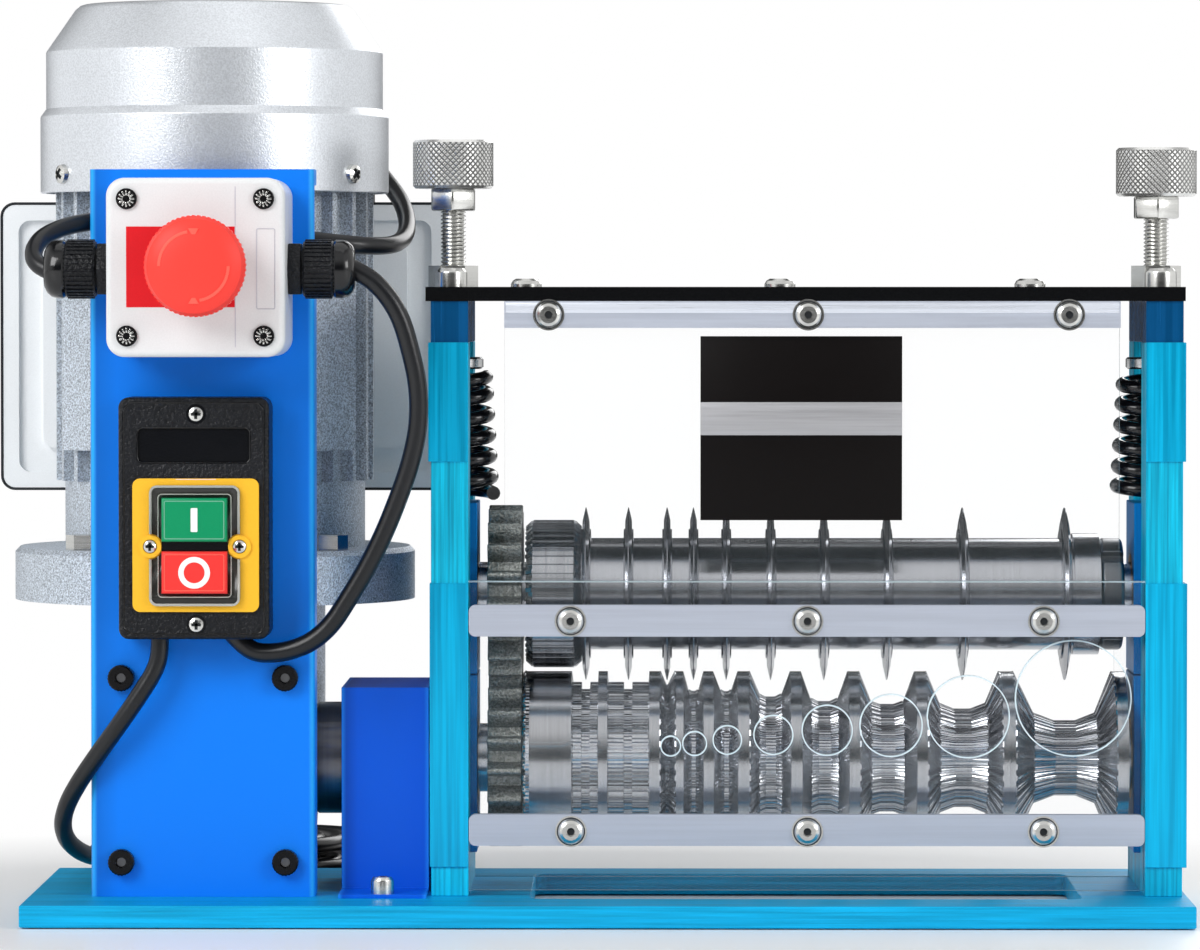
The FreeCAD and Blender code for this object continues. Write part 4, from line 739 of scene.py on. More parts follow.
def rounded_panel(name: str, low: Point, high: Point, radius: float) -> Piece:
    """A panel that faces forward, with its four corners rounded."""
    piece = block(name, low, high, 0)
    choose(piece)
    bpy.ops.object.mode_set(mode="EDIT")
    bpy.ops.mesh.select_all(action="DESELECT")
    bpy.ops.object.mode_set(mode="OBJECT")
    piece.data.polygons.foreach_set("select", [False] * len(piece.data.polygons))
    piece.data.vertices.foreach_set("select", [False] * len(piece.data.vertices))
    for line in piece.data.edges:
        start, end = (piece.data.vertices[i].co for i in line.vertices)
        line.select = abs((end - start).normalized().y) > 0.9
    bpy.ops.object.mode_set(mode="EDIT")
    bpy.ops.mesh.select_mode(type="EDGE")
    bpy.ops.mesh.bevel(offset=radius, segments=8)
    bpy.ops.object.mode_set(mode="OBJECT")
    return smooth(piece)


def frame_of(axis: Vector) -> tuple[Vector, Vector]:
    """Two directions square to an axis."""
    helper = Vector((0, 0, 1)) if abs(axis.z) < 0.9 else Vector((1, 0, 0))
    side = axis.cross(helper).normalized()
    return side, axis.cross(side).normalized()


def lathe(name: str, start: Vector, axis: Vector, profile: Pairs, steps: int = 96,
          turn: float = 360.0) -> Piece:
    """Spin a half outline round an axis.

    Args:
        name: the piece's name.
        start: a point on the axis, in metres.
        axis: the axis's direction.
        profile: (place along the axis, radius) in millimetres.
        steps: faces round the axis.
        turn: how far it spins, in degrees.

    Returns:
        The piece, smooth below 32 degrees.
    """
    axis = axis.normalized()
    side, _ = frame_of(axis)
    corners = [start + axis * (along * MM) + side * (radius * MM) for along, radius in profile]
    mesh = bpy.data.meshes.new(name)
    mesh.from_pydata(corners, [(i, i + 1) for i in range(len(corners) - 1)], [])
    piece = added(name, mesh)
    with editing(piece):
        bpy.ops.mesh.spin(steps=steps, angle=math.radians(turn), center=start, axis=axis, dupli=False)
        bpy.ops.mesh.select_all(action="SELECT")
        bpy.ops.mesh.remove_doubles(threshold=0.000002)
        if turn < 360:
            bpy.ops.mesh.region_to_loop()
            bpy.ops.mesh.edge_face_add()
            bpy.ops.mesh.select_all(action="SELECT")
        bpy.ops.mesh.normals_make_consistent(inside=False)
    return smooth(piece)


def prism(name: str, centre: Vector, axis: Vector, radius: float, height: float, sides: int,
          edge: float = 0.0003) -> Piece:
    """A prism standing on a point, such as a hexagon nut.

    Args:
        name: the piece's name.
        centre: the middle of its foot, in metres.
        axis: the way it stands.
        radius: over the corners, in metres.
        height: in metres.
        sides: how many sides.
        edge: bevel width in metres.

    Returns:
        The piece.
    """
    turn = UPWARD.rotation_difference(axis).to_euler()
    bpy.ops.object.select_all(action="DESELECT")
    bpy.ops.mesh.primitive_cylinder_add(vertices=sides, radius=radius, depth=height,
                                        location=centre + axis * (height / 2), rotation=turn)
    piece = settle(named(bpy.context.object, name))
    return bevelled(piece, edge) if edge else piece


def joined(name: str, pieces: Iterable[Piece]) -> Piece:
    """Join objects into one piece."""
    parts = list(pieces)
    choose(parts[0])
    for part in parts:
        part.select_set(True)
    if len(parts) > 1:
        bpy.ops.object.join()
    return named(bpy.context.view_layer.objects.active, name)


def wire(name: str, points: Iterable[Vector], radius: float, fineness: int) -> Piece:
    """A round wire or cable through control points.

    Args:
        name: the curve's name.
        points: its control points in metres.
        radius: in millimetres.
        fineness: steps between two points.

    Returns:
        The curve object.
    """
    data = bpy.data.curves.new(name, "CURVE")
    data.dimensions = "3D"
    data.bevel_depth = radius * MM
    data.bevel_resolution = 5
    data.resolution_u = fineness
    data.use_fill_caps = True
    corners = list(points)
    spline = data.splines.new("NURBS")
    spline.points.add(len(corners) - 1)
    for point, corner in zip(spline.points, corners):
        point.co = (*corner, 1)
    spline.order_u = 3
    spline.use_endpoint_u = True
    return added(name, data)


def copied(piece: Piece, point: Vector, axis: Vector = UPWARD) -> Piece:
    """A copy of a piece made at the origin along Z, stood on a point along an axis."""
    twin = piece.copy()
    twin.data = piece.data.copy()
    bpy.context.scene.collection.objects.link(twin)
    turn = UPWARD.rotation_difference(axis).to_matrix().to_4x4()
    twin.data.transform(Matrix.Translation(point) @ turn)
    return twin


def scrapped(piece: Piece) -> None:
    """Remove a pattern piece."""
    choose(piece)
    bpy.ops.object.delete()


def cut(piece: Piece, tool: Piece) -> Piece:
    """Take a tool's volume out of a piece, and remove the tool."""
    away = piece.modifiers.new("away", "BOOLEAN")
    away.operation = "DIFFERENCE"
    away.solver = "EXACT"
    away.object = tool
    apply_all(piece)
    scrapped(tool)
    choose(piece)
    return piece


def bisected(piece: Piece, point: Vector, upper: bool) -> Piece:
    """Keep the part of a piece above or below a level, closed at the cut."""
    with editing(piece):
        bpy.ops.mesh.bisect(plane_co=point, plane_no=UPWARD, use_fill=True, clear_inner=upper, clear_outer=not upper)
    return piece


def rim(name: str, low: Point, high: Point, radius: float, border: float) -> Piece:
    """A rounded frame of one border's width that faces forward, open in its middle.

    Args:
        name: the piece's name.
        low: the lower corner in metres.
        high: the upper corner in metres.
        radius: of its outer corners, in metres.
        border: its width in metres.

    Returns:
        The frame.
    """
    reach = (-border, 0.001, -border)
    inner = rounded_panel("inner", [a - r for a, r in zip(low, reach)], [b + r for b, r in zip(high, reach)],
                          max(radius - border, 0.0002))
    return cut(rounded_panel(name, low, high, radius), inner)


def ring(name: str, start: Vector, axis: Vector, inner: float, outer: float, height: float,
         steps: int = 48) -> Piece:
    """A flat ring standing on a point, its radii and height in millimetres."""
    profile = [(0, inner), (height, inner), (height, outer), (0, outer), (0, inner)]
    return lathe(name, start, axis, profile, steps)


def ribbed(piece: Piece, axis: Vector, through: Vector, steps: int, reach: tuple[float, float],
           height: float, steepest: float = 0.3) -> Piece:
    """Raise every second strip of a turned piece between two radii.

    Args:
        piece: a piece that lathe made with that many steps.
        axis: its turning axis.
        through: a point on the axis.
        steps: its faces round the axis.
        reach: the least and the greatest radius of the strips' middles, in millimetres.
        height: how far they rise, in millimetres.
        steepest: the most that a raised face may look along the axis, from 0 to 1.

    Returns:
        The piece.
    """
    side, up = frame_of(axis)

    def raised(face: bpy.types.MeshPolygon) -> bool:
        """Whether a face is on a strip that rises."""
        offset = face.center - through
        offset = offset - axis * offset.dot(axis)
        turn = math.atan2(offset.dot(up), offset.dot(side)) / math.tau * steps
        near = reach[0] * MM < offset.length < reach[1] * MM
        return near and abs(face.normal.dot(axis)) <= steepest and math.floor(turn + 1e-4) % 2 == 0

    edit_faces(piece, raised)
    bpy.ops.mesh.inset(thickness=0.00006, depth=height * MM, use_individual=True)
    bpy.ops.object.mode_set(mode="OBJECT")
    return smooth(piece, 25.0)


def refined(node: str, look: str, edge: float = 0.0) -> Piece:
    """A CAD node's copy with merged points, smooth curves and edges rounded by a width in metres, in its place."""
    degrees = BEVEL_ANGLE if edge else SHADE_ANGLE
    source = frame["nodes"][node]
    piece = source.copy()
    piece.data = source.data.copy()
    piece.parent = None
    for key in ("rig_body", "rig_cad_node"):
        if key in piece:
            del piece[key]
    bpy.context.scene.collection.objects.link(piece)
    named(piece, node + "_finished")
    with editing(piece):
        bpy.ops.mesh.remove_doubles(threshold=0.00001)
        bpy.ops.mesh.dissolve_limited(angle_limit=math.radians(0.5 if edge else 0.03))
    if edge:
        bevelled(piece, edge, degrees)
    weighted(smooth(piece, degrees))
    return stand_in(piece, node, look)


def kept(node: str, look: str) -> None:
    """Give a CAD node that stays as it is its finish."""
    sheet = frame["nodes"][node]
    sheet.data.materials.clear()
    sheet.data.materials.append(finish(look))


def turned_node(node: str, start: Vector, profile: Pairs) -> Piece:
    """A turned steel CAD node along X made again on the lathe, with many more faces round it."""
    return stand_in(smooth(lathe(node + "_turned", start, RIGHTWARD, profile, 128), FINE_ANGLE), node, "steel")


def refined_all(looks: Looks) -> None:
    """Refine a list of nodes, each with its finish and edge width in metres."""
    for look in looks:
        refined(*look)


def turned_about(point: Vector, angle: float, axis: str, start: Vector) -> Matrix:
    """A turn round an axis through a starting point, which is then brought to another point."""
    return Matrix.Translation(point) @ Matrix.Rotation(angle, 4, axis) @ Matrix.Translation(-start)


def metres(*values: float) -> Vector:
    """A direction or size given in millimetres."""
    return Vector(values) * MM


def place(x: float, y: float, z: float) -> Vector:
    """A point of the machine's layout, given in millimetres from the middle of the base plate."""
    return (Vector((x, y, z)) + Vector(ORIGIN)) * MM


def centred(x: float, reach: float, y: tuple[float, float], z: tuple[float, float]) -> tuple[Vector, Vector]:
    """The two corners, in layout millimetres, of a box that reaches as far to the left of x as to its right."""
    return place(x - reach, y[0], z[0]), place(x + reach, y[1], z[1])


@dataclass
class Studio:
    """The camera of the photograph, a floor that fades to white and soft lamps."""
    eye: Point = (0.0319, -2.5044, 0.242)
    pitch: float = -1.64
    yaw: float = 0.59
    lens: float = 189.0
    floor_size: float = 6.0
    glow_reach: tuple[float, float] = (0.42, 0.30)
    lamps: Sequence[tuple] = (
        ("key", (-1.5, -1.8, 1.4), 1.3, 38, 0.15), ("fill", (1.9, -1.5, 0.9), 0.9, 17, 0.15),
        ("top", (0.1, 0.3, 2.2), 1.8, 10, 0.1), ("back", (0.9, 2.2, 1.2), 1.2, 16, 0.15),
    )

    def build(self) -> None:
        """Set the whole studio."""
        self.camera()
        self.world()
        self.floor()
        for lamp in self.lamps:
            self.lamp(*lamp)

    def camera(self) -> None:
        """Add the camera."""
        data = bpy.data.cameras.new("photo_camera")
        data.lens = self.lens
        data.sensor_width = 36
        data.clip_start, data.clip_end = 0.1, 50
        item = added("photo_camera", data)
        item.location = self.eye
        item.rotation_euler = (math.radians(90 + self.pitch), 0, math.radians(self.yaw))
        bpy.context.scene.camera = item

    def world(self) -> None:
        """White to the camera and in clear sheets, soft white panels in reflections, a plain grey level as light."""
        scene = bpy.context.scene
        scene.view_settings.view_transform = "Standard"
        world = bpy.data.worlds.new("studio")
        scene.world = world
        world.use_nodes = True
        tree = world.node_tree
        sky = tree.nodes["Background"]
        paths = tree.nodes.new("ShaderNodeLightPath")
        seen, through, glossy = (Signal(tree, paths.outputs[f"Is {kind} Ray"])
                                 for kind in ("Camera", "Transmission", "Glossy"))
        seen = seen.math("MAXIMUM", through)
        split = tree.nodes.new("ShaderNodeSeparateXYZ")
        tree.links.new(tree.nodes.new("ShaderNodeTexCoord").outputs["Generated"], split.inputs[0])
        across, along, up = (Signal(tree, split.outputs[number]) for number in range(3))
        sides = ((abs(across) - 0.42) * 3.0).clamped()
        band = ((up - 0.2) * 2.5).clamped() * (along * -2.2).clamped()
        shown = (sides * 0.95 + band * 0.8 + 0.06).clamped()
        level = (seen + glossy * shown).math("ADD", (1.0 - seen - glossy).clamped() * 0.5)
        sky.inputs["Color"].default_value = WHITE
        tree.links.new(level.socket, sky.inputs["Strength"])

    def floor(self) -> None:
        """A pale floor that keeps the shadow close to the machine and fades to plain white."""
        bpy.ops.object.select_all(action="DESELECT")
        bpy.ops.mesh.primitive_plane_add(size=self.floor_size, location=(0, 0, -0.0005))
        plane = settle(named(bpy.context.object, "floor"))
        shader = Shader("floor")
        shader.set(Base_Color=(0.95, 0.955, 0.96, 1), Roughness=0.4)
        speck = shader.noise(40.0, 2.0)
        shader.bump(speck, 0.00002, 0.2)
        glow = shader.node("ShaderNodeEmission", Color=WHITE, Strength=1.0)
        across, along = (shader.axis(axis) * (1 / reach) for axis, reach in zip((Axis.X, Axis.Y), self.glow_reach))
        far = ((across * across + along * along).math("SQRT") - 0.75) * 2.2
        seen = shader.signal(shader.node("ShaderNodeLightPath").outputs["Is Camera Ray"])
        mix = shader.node("ShaderNodeMixShader", Fac=far.clamped() * seen)
        shader.tree.links.new(shader.surface.outputs[0], mix.inputs[1])
        shader.tree.links.new(glow.outputs[0], mix.inputs[2])
        shader.tree.links.new(mix.outputs[0], shader.tree.nodes["Material Output"].inputs[0])
        plane.data.materials.append(shader.material)
        plane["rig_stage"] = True

    def lamp(self, name: str, stand: Point, side: float, power: float, aim: float) -> None:
        """Add a square lamp.

        Args:
            name: the lamp's name.
            stand: where it stands, in metres.
            side: its side in metres.
            power: in watts.
            aim: the height over the origin that it faces, in metres.
        """
        data = bpy.data.lights.new(name, "AREA")
        data.shape = "SQUARE"
        data.size = side
        data.energy = power
        item = added(name, data)
        item.location = stand
        item.rotation_euler = (Vector((0.0, 0.0, aim)) - Vector(stand)).to_track_quat("-Z", "Y").to_euler()


@dataclass
class Leads:
    """The motor lead, the lead between the two boxes, and the mains cord with its coil and plug."""
    motor_route: Sequence[Point] = (
        (-212.8, -69.05, 250.7), (-217.65, -67.1, 252.7), (-220.35, -63.8, 256), (-220.35, -59.9, 260),
        (-218, -53, 264), (-212.3, -45, 267.6), (-203.6, -37, 270), (-191.8, -31.7, 271.2), (-178, -30.2, 270.8),
        (-162, -29.8, 269.2), (-146, -30.2, 267.2), (-131, -30, 265.2), (-117.5, -29.6, 263.4), (-105.5, -28, 262),
        (-94.8, -23.5, 261), (-87, -13.5, 261), (-82.6, -0.5, 262.4), (-80.6, 14.5, 265.4), (-80.5, 30, 270),
        (-82, 44.5, 275.2), (-84.6, 58, 280.2), (-88.4, 71, 285), (-92.6, 84, 289.8), (-96, 97.5, 293.6),
        (-98.8, 111, 295.6), (-100.9, 124.5, 295), (-101.8, 134.5, 292), (-102, 140, 286), (-102, 140, 278.5),
    )
    link_route: Sequence[Point] = (
        (-99.3, -68, 252.8), (-92.6, -68, 249.4), (-87.4, -67.8, 245.2), (-82.6, -67.5, 239.3), (-78.8, -67, 232),
        (-76, -66.3, 222.5), (-72.6, -65.1, 208), (-72.3, -64, 192.5), (-75.5, -63, 177.5), (-80.5, -62, 163.5),
        (-86, -61, 150), (-92.5, -60, 137), (-99.9, -59, 124.8), (-106.3, -58, 114.8), (-113.9, -57, 108.2),
        (-122, -56, 104.9), (-129.5, -55.2, 103.7), (-136.2, -54.5, 104), (-141.3, -54.1, 107.6),
        (-145.6, -54, 112.4),
    )
    mains_route: Sequence[Point] = (
        (-172.8, -54, 109.6), (-172.8, -54, 103.2), (-174.9, -54, 96.6), (-180.2, -53.7, 88.2),
        (-186.2, -52.8, 79.5), (-192.6, -51.2, 70.6), (-199.2, -48.6, 61.6), (-205.4, -44.9, 52.6),
        (-210.4, -39.8, 43.9), (-212.9, -32.4, 35.6), (-212, -22.4, 28.6), (-208.8, -10, 23.6),
        (-206.3, 4.5, 20.5), (-205.8, 20, 18.5),
        (-206.3, 36, 17.6), (-206.6, 52, 17.9), (-206.3, 66, 18.2), (-205.8, 80, 17), (-205.3, 94, 12.5),
        (-204.9, 107, 7.5), (-204.7, 120, 4.4), (-204.5, 137, 3.5), (-204.5, 155, 3.5),
    )
    motor_exit: Point = (-215.4, -68.0, 251.8)
    link_exit: Point = (-96.6, -68.0, 251.8)
    lead_radius: float = 3.5
    link_radius: float = 3.75
    coil_radius: float = 48.5
    coil_step: float = 9.0
    coil_turns: int = 3
    coil_exit_radius: float = 56.0
    plug_height: float = 10.85
    points_per_half: int = 8
    start_of_coil: Point = (-204.5, 162.0, 3.5)

    def build(self) -> None:
        motor = self.cable("motor_lead_cable", self.motor_route, self.lead_radius, "motor_lead")
        link = self.cable("link_lead_cable", self.link_route, self.link_radius, "link_lead")
        mains = self.cable("mains_cable", (*self.mains_route, *self.coil()), self.lead_radius, "mains_cord",
                           "mains_coil")
        plug = self.plug()
        self.declare(motor, self.motor_exit, self.lead_radius)
        self.declare(link, self.link_exit, self.link_radius)
        self.declare(mains, self.mains_route[0], self.lead_radius)

    def cable(self, name: str, route: Sequence[Point], radius: float, *nodes: str) -> Piece:
        """A smooth cable through a route's points in layout millimetres, in the place of CAD nodes."""
        return dress(wire(name, (place(*corner) for corner in route), radius, 6), "frame", "cable", "cable", nodes)

    def declare(self, item: Piece, leaves: Point, radius: float) -> None:
        """Log a lead's length.

        Args:
            item: the curve.
            leaves: where it comes out, in layout millimetres.
            radius: its radius in millimetres; not used.
        """
        measured = sum(spline.calc_length() for spline in item.data.splines)
        LOG.info("%s is %.3f m long", item.name, measured)
        place(*leaves)

    def coil(self) -> list[Point]:
        """Points of the coil: three turns inwards on the floor, a climb, and out again on top, the last turn wide."""
        points: list[Point] = []
        x, y, z = self.start_of_coil
        way, side = 1.0, 1.0
        halves = 2 * self.coil_turns
        radii = [self.coil_radius - half * self.coil_step / 2 for half in range(halves)]
        climb = radii[-1] - 0.4 * self.coil_step
        outwards = radii[::-1]
        outwards[-1] = self.coil_exit_radius
        rises = [0.0] * halves + [self.coil_step] + [0.0] * halves
        rises[-1] = self.plug_height - self.coil_step - z
        swell = 1 / math.cos(math.pi / self.points_per_half / 2)
        for radius, rise in zip(radii + [climb] + outwards, rises):
            middle = x + side * radius
            for step in range(self.points_per_half):
                share = (step + 0.5) / self.points_per_half
                angle = math.pi * share
                height = z + rise * (3 - 2 * share) * share * share
                reach = radius * swell
                points.append((middle - side * reach * math.cos(angle), y + way * reach * math.sin(angle), height))
            x, z = x + 2 * side * radius, z + rise
            way, side = -way, -side
        points.append((x, y, z))
        points.append((x, y + 7.0 * way, z))
        return points

    def plug(self) -> list[Piece]:
        """The moulded plug with its ribbed strain relief."""
        low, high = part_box("mains_plug")
        body = refined("mains_plug", "cable", 0.0008)
        centre = (low + high) / 2
        ribs = []
        for at in (3.5, 7.0, 10.5):
            grown = 4.7 + at * 0.19
            profile = [(-0.9, grown - 1.5), (-0.9, grown), (-0.4, grown + 0.5), (0.4, grown + 0.5), (0.9, grown),
                       (0.9, grown - 1.5)]
            start = Vector((centre.x, high.y - at * MM, self.plug_height * MM))
            ribs.append(lathe("relief_rib", start, FORWARD, profile, 24))
        return [body, dress(joined("plug_relief_ribs", ribs), "frame", "cable", "cable")]


@dataclass
class Bench:
    """The base plate, the posts with their heads and sleeves, the top plate and the bearing blocks."""
    looks: Looks = (
        ("base_plate", "base_blue", 0.0006), ("left_post", "blue_plate", 0.0004), ("right_post", "blue_plate", 0.0004),
        ("head_blocks", "dark_blue", 0.0005), ("post_sleeves", "polished_blue", 0.0002),
        ("top_plate", "black_plate", 0.0004), ("lower_blocks", "block_blue", 0.0005),
        ("upper_blocks", "block_blue", 0.0005), ("lower_bushes", "bronze", 0.0004), ("upper_bushes", "bronze", 0.0004),
    )

    def build(self) -> None:
        """Dress the bench."""
        refined_all(self.looks)


class Side(Enum):
    """The machine's two sides, with the way inwards."""
    LEFT = 1
    RIGHT = -1

    @property
    def word(self) -> str:
        """The side's name in the CAD nodes."""
        return self.name.lower()


@dataclass
class Pressure:
    """The two adjusting screws with their knobs, seats and tapered springs."""
    stud_x: dict[Side, float] = field(default_factory=lambda: {Side.LEFT: -61.45, Side.RIGHT: 215.45})
    axis_y: float = 5.0
    knob_foot: dict[Side, float] = field(default_factory=lambda: {Side.LEFT: 283.8, Side.RIGHT: 280.7})
    knob_radius: float = 16.25
    knob_height: float = 19.0
    nut_across: float = 17.0
    nut_height: float = 8.8
    spring_foot: float = 160.9
    spring_middle: float = 184.0
    spring_top: float = 212.3
    wire: float = 5.5
    closed_step: float = 6.1
    closed_turns: float = 0.75
    open_turns: float = 4.5
    foot_radius: float = 10.4
    top_radius: float = 7.7
    shift: float = 5.2
    steps: int = 16

    def build(self) -> None:
        """Make both sides."""
        for side in Side:
            self.spring(side)
            self.knob(side)
            self.stud(side)
            refined(f"{side.word}_seat", "nickel")

    def axis(self, side: Side, height: float) -> Vector:
        """A point on a screw's axis."""
        return place(self.stud_x[side], self.axis_y, height)

    def coil(self, side: Side) -> Iterable[Vector]:
        """Control points of a tapered spring that is closed at both ends."""
        turns = 2 * self.closed_turns + self.open_turns
        rise = self.spring_top - self.spring_foot - self.wire
        end_rise = self.closed_step * self.closed_turns
        swell = 1 / math.cos(math.pi / self.steps)
        for number in range(int(turns * self.steps) + 1):
            turn = number / self.steps
            if turn <= self.closed_turns:
                height = self.closed_step * turn
            elif turn <= self.closed_turns + self.open_turns:
                height = end_rise + (rise - 2 * end_rise) * (turn - self.closed_turns) / self.open_turns
            else:
                height = rise - end_rise + self.closed_step * (turn - self.closed_turns - self.open_turns)
            angle = math.tau * turn * side.value
            reach = (self.foot_radius + (self.top_radius - self.foot_radius) * turn / turns) * swell
            centre = self.axis(side, self.spring_foot + self.wire / 2 + height)
            yield centre + metres(side.value * self.shift + reach * math.cos(angle), reach * math.sin(angle), 0)

    def spring(self, side: Side) -> None:
        """A spring of round wire, cut at its middle into a lower and an upper half; on the machine the rising carriage
        presses the lower half, and the seat the upper.
        """
        choose(wire("wire", self.coil(side), self.wire / 2, 4))
        bpy.ops.object.convert(target="MESH")
        lower = smooth(named(bpy.context.object, f"{side.word}_spring_wire"), 50.0)
        upper = named(copied(lower, Vector()), f"{side.word}_spring_upper_half")
        foot, middle, top = (self.axis(side, level)
                             for level in (self.spring_foot, self.spring_middle, self.spring_top))
        bisected(lower, middle, False)
        bisected(upper, middle, True)
        dress(lower, "", "spring_black", "spring_black", [f"{side.word}_spring"])
        dress(upper, "", "spring_black", "spring_black")
        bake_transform(lower)
        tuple(foot)
        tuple(middle)
        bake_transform(upper)
        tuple(middle)
        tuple(top)

    def knob(self, side: Side) -> None:
        """A knurled knob with a bevelled, faced top."""
        r, h = self.knob_radius, self.knob_height
        profile = [(0, 0), (0, r - 1.4), (1.0, r - 0.4), (h - 1.0, r - 0.4), (h, r - 1.4), (h, r - 5.0),
                   (h - 0.4, r - 5.5), (h - 0.4, 0)]
        piece = lathe(f"{side.word}_knob_turned", self.axis(side, self.knob_foot[side]), UPWARD, profile, 128)
        stand_in(smooth(piece, FINE_ANGLE), f"{side.word}_knob", f"{side.word}_knurl")

    def stud(self, side: Side) -> None:
        """A threaded stud with its locking nut."""
        low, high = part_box(f"{side.word}_stud")
        foot = self.knob_foot[side]
        start = low.z / MM
        pitch, crest, root = 1.5, 4.95, 4.1
        profile = [(0, 0), (0, root - 0.4), (0.8, root)]
        count = int((foot - start - 1.6) / pitch)
        for thread in range(count):
            at = 0.8 + thread * pitch
            profile += [(at + 0.55, crest), (at + 0.8, crest), (at + 1.35, root)]
        profile += [(foot - start, root), (foot - start, 0)]
        rod = lathe("rod", self.axis(side, start), UPWARD, profile, 28)
        nut = prism("nut", self.axis(side, foot - self.nut_height), UPWARD, self.nut_across / math.sqrt(3) * MM,
                    self.nut_height * MM, 6, 0.0007)
        piece = joined(f"{side.word}_stud_threaded", [rod, nut])
        dress(piece, f"{side.word}_adjuster", "nickel", "zinc", [f"{side.word}_stud"])


@dataclass
class Rollers:
    """The geared upper and lower rollers with the drum, blades and spacers."""
    axis_y: float = 5.0
    lower_z: float = 59.2
    upper_z: float = 124.0
    shaft_radius: float = 12.52
    drum_left: float = -32.3
    drum_width: float = 21.1
    drum_radius: float = 29.15
    drum_steps: int = 96
    blade_places: Sequence[float] = (-9.1, 7.7, 22.9, 33.3, 46.2, 63.7, 84.7, 109.5, 139.3, 179.6)
    blade_half: float = 1.3
    blade_radius: float = 34.0
    hub: tuple[float, float] = (0.6, 25.5)
    spacer_radius: float = 22.0
    collar: tuple[float, float] = (182.5, 23.9)
    spacers: tuple[float, float] = (-11.2, 192.7)
    roller: tuple[float, float] = (-33.4, 203.0)
    crest: float = 34.1
    ring: float = 29.6
    dip: float = 26.8
    grooves: Sequence[tuple[float, ...]] = (
        (19.9, 22.2, 22.9, 22.9, 23.6, 26.4, 28.9, 28.3), (29.3, 31.4, 32.4, 34.2, 35.2, 37.2, 26.9, 26.1),
        (41.1, 44.0, 45.2, 47.2, 48.2, 50.7, 26.9, 26.0), (55.0, 59.0, 61.6, 65.6, 68.0, 71.4, 25.2, 23.9),
        (75.7, 79.6, 82.4, 87.2, 90.2, 94.1, 23.5, 22.1), (98.2, 103.0, 106.8, 112.4, 116.0, 120.5, 22.3, 21.0),
        (124.6, 130.0, 136.0, 142.6, 148.8, 154.2, 21.6, 19.2), (158.9, 167.0, 175.4, 184.0, 192.0, 198.7, 17.8, 14.6),
    )
    roller_steps: int = 96

    def build(self) -> None:
        """Dress both rollers."""
        refined_all((("lower_gear", "gear_steel", 0.0006), ("upper_gear", "gear_steel", 0.0006),
                     ("end_nut", "dark_steel", 0.0005)))
        self.shafts()
        self.grooved()
        self.drum()
        self.blades()
        self.sleeves()

    def shafts(self) -> None:
        """The two turned shafts, the lower one with a collar."""
        r = self.shaft_radius - 0.02
        for node, left, height, long, collar in (
            ("lower_shaft", -95.5, self.lower_z, 318.5, [(44.5, r), (44.5, r + 1), (47.9, r + 1), (47.9, r)]),
            ("upper_shaft", -68.2, self.upper_z, 290.5, []),
        ):
            profile = [(0, 0), (0, r - 1), (1, r), *collar, (long - 1, r), (long, r - 1), (long, 0)]
            turned_node(node, place(left, self.axis_y, height), profile)

    def grooved(self) -> None:
        """The lower roller with radial serrations in its grooves."""
        left, right = self.roller
        c, high, low, bore = self.crest, self.ring - 0.3, self.dip - 0.3, self.shaft_radius
        profile = [(left, bore), (left, c - 1), (left + 1, c), (-14.6, c), (-14.0, high), (-10.7, high), (-10.7, low),
                   (-7.4, low), (-7.4, high), (-4.4, high), (-4.1, c), (-0.5, c), (-0.1, high), (5.9, high), (5.9, low),
                   (9.2, low), (9.2, high), (15.5, high), (15.9, c)]
        for wall_left, floor_left, dip_left, dip_right, floor_right, wall_right, floor, dip in self.grooves:
            profile += [(wall_left, c), (floor_left, floor - 0.3), (dip_left, dip - 0.3)]
            if dip_right > dip_left:
                profile.append((dip_right, dip - 0.3))
            profile += [(floor_right, floor - 0.3), (wall_right, c)]
        profile += [(right, c), (right, bore), (left, bore)]
        start = place(0, self.axis_y, self.lower_z)
        piece = lathe("grooved_roller_turned", start, RIGHTWARD, profile, self.roller_steps)
        ribbed(piece, RIGHTWARD, start, self.roller_steps, (bore + 1.5, c - 0.4), 0.55, 0.93)
        stand_in(piece, "grooved_roller", "roller_steel")

    def drum(self) -> None:
        """The straight-knurled drum beside the gear."""
        r, w = self.drum_radius, self.drum_width
        profile = [(0, self.shaft_radius), (0, r - 3.1), (2.5, r - 0.8), (w - 2.5, r - 0.8), (w, r - 3.1),
                   (w, self.shaft_radius), (0, self.shaft_radius)]
        start = place(self.drum_left, self.axis_y, self.upper_z)
        piece = lathe("feed_drum_knurled", start, RIGHTWARD, profile, self.drum_steps)
        ribbed(piece, RIGHTWARD, start, self.drum_steps, (r - 2.6, r + 1), 0.75, 0.93)
        stand_in(piece, "feed_drum", "drum_steel")

    def blades(self) -> None:
        """Ten ground blades with their hub rings."""
        h, r, bore = self.blade_half, self.blade_radius, self.shaft_radius
        thick, hub = self.hub
        profile = [(-h - thick, bore), (-h - thick, hub), (-h, hub), (-h, r - 5), (-0.15, r), (0.15, r), (h, r - 5),
                   (h, hub), (h + thick, hub), (h + thick, bore), (-h - thick, bore)]
        pieces = [lathe("blade", place(x, self.axis_y, self.upper_z), RIGHTWARD, profile, 128)
                  for x in self.blade_places]
        stand_in(smooth(joined("cutting_blades_ground", pieces), 12.0), "cutting_blades", "blade_steel")

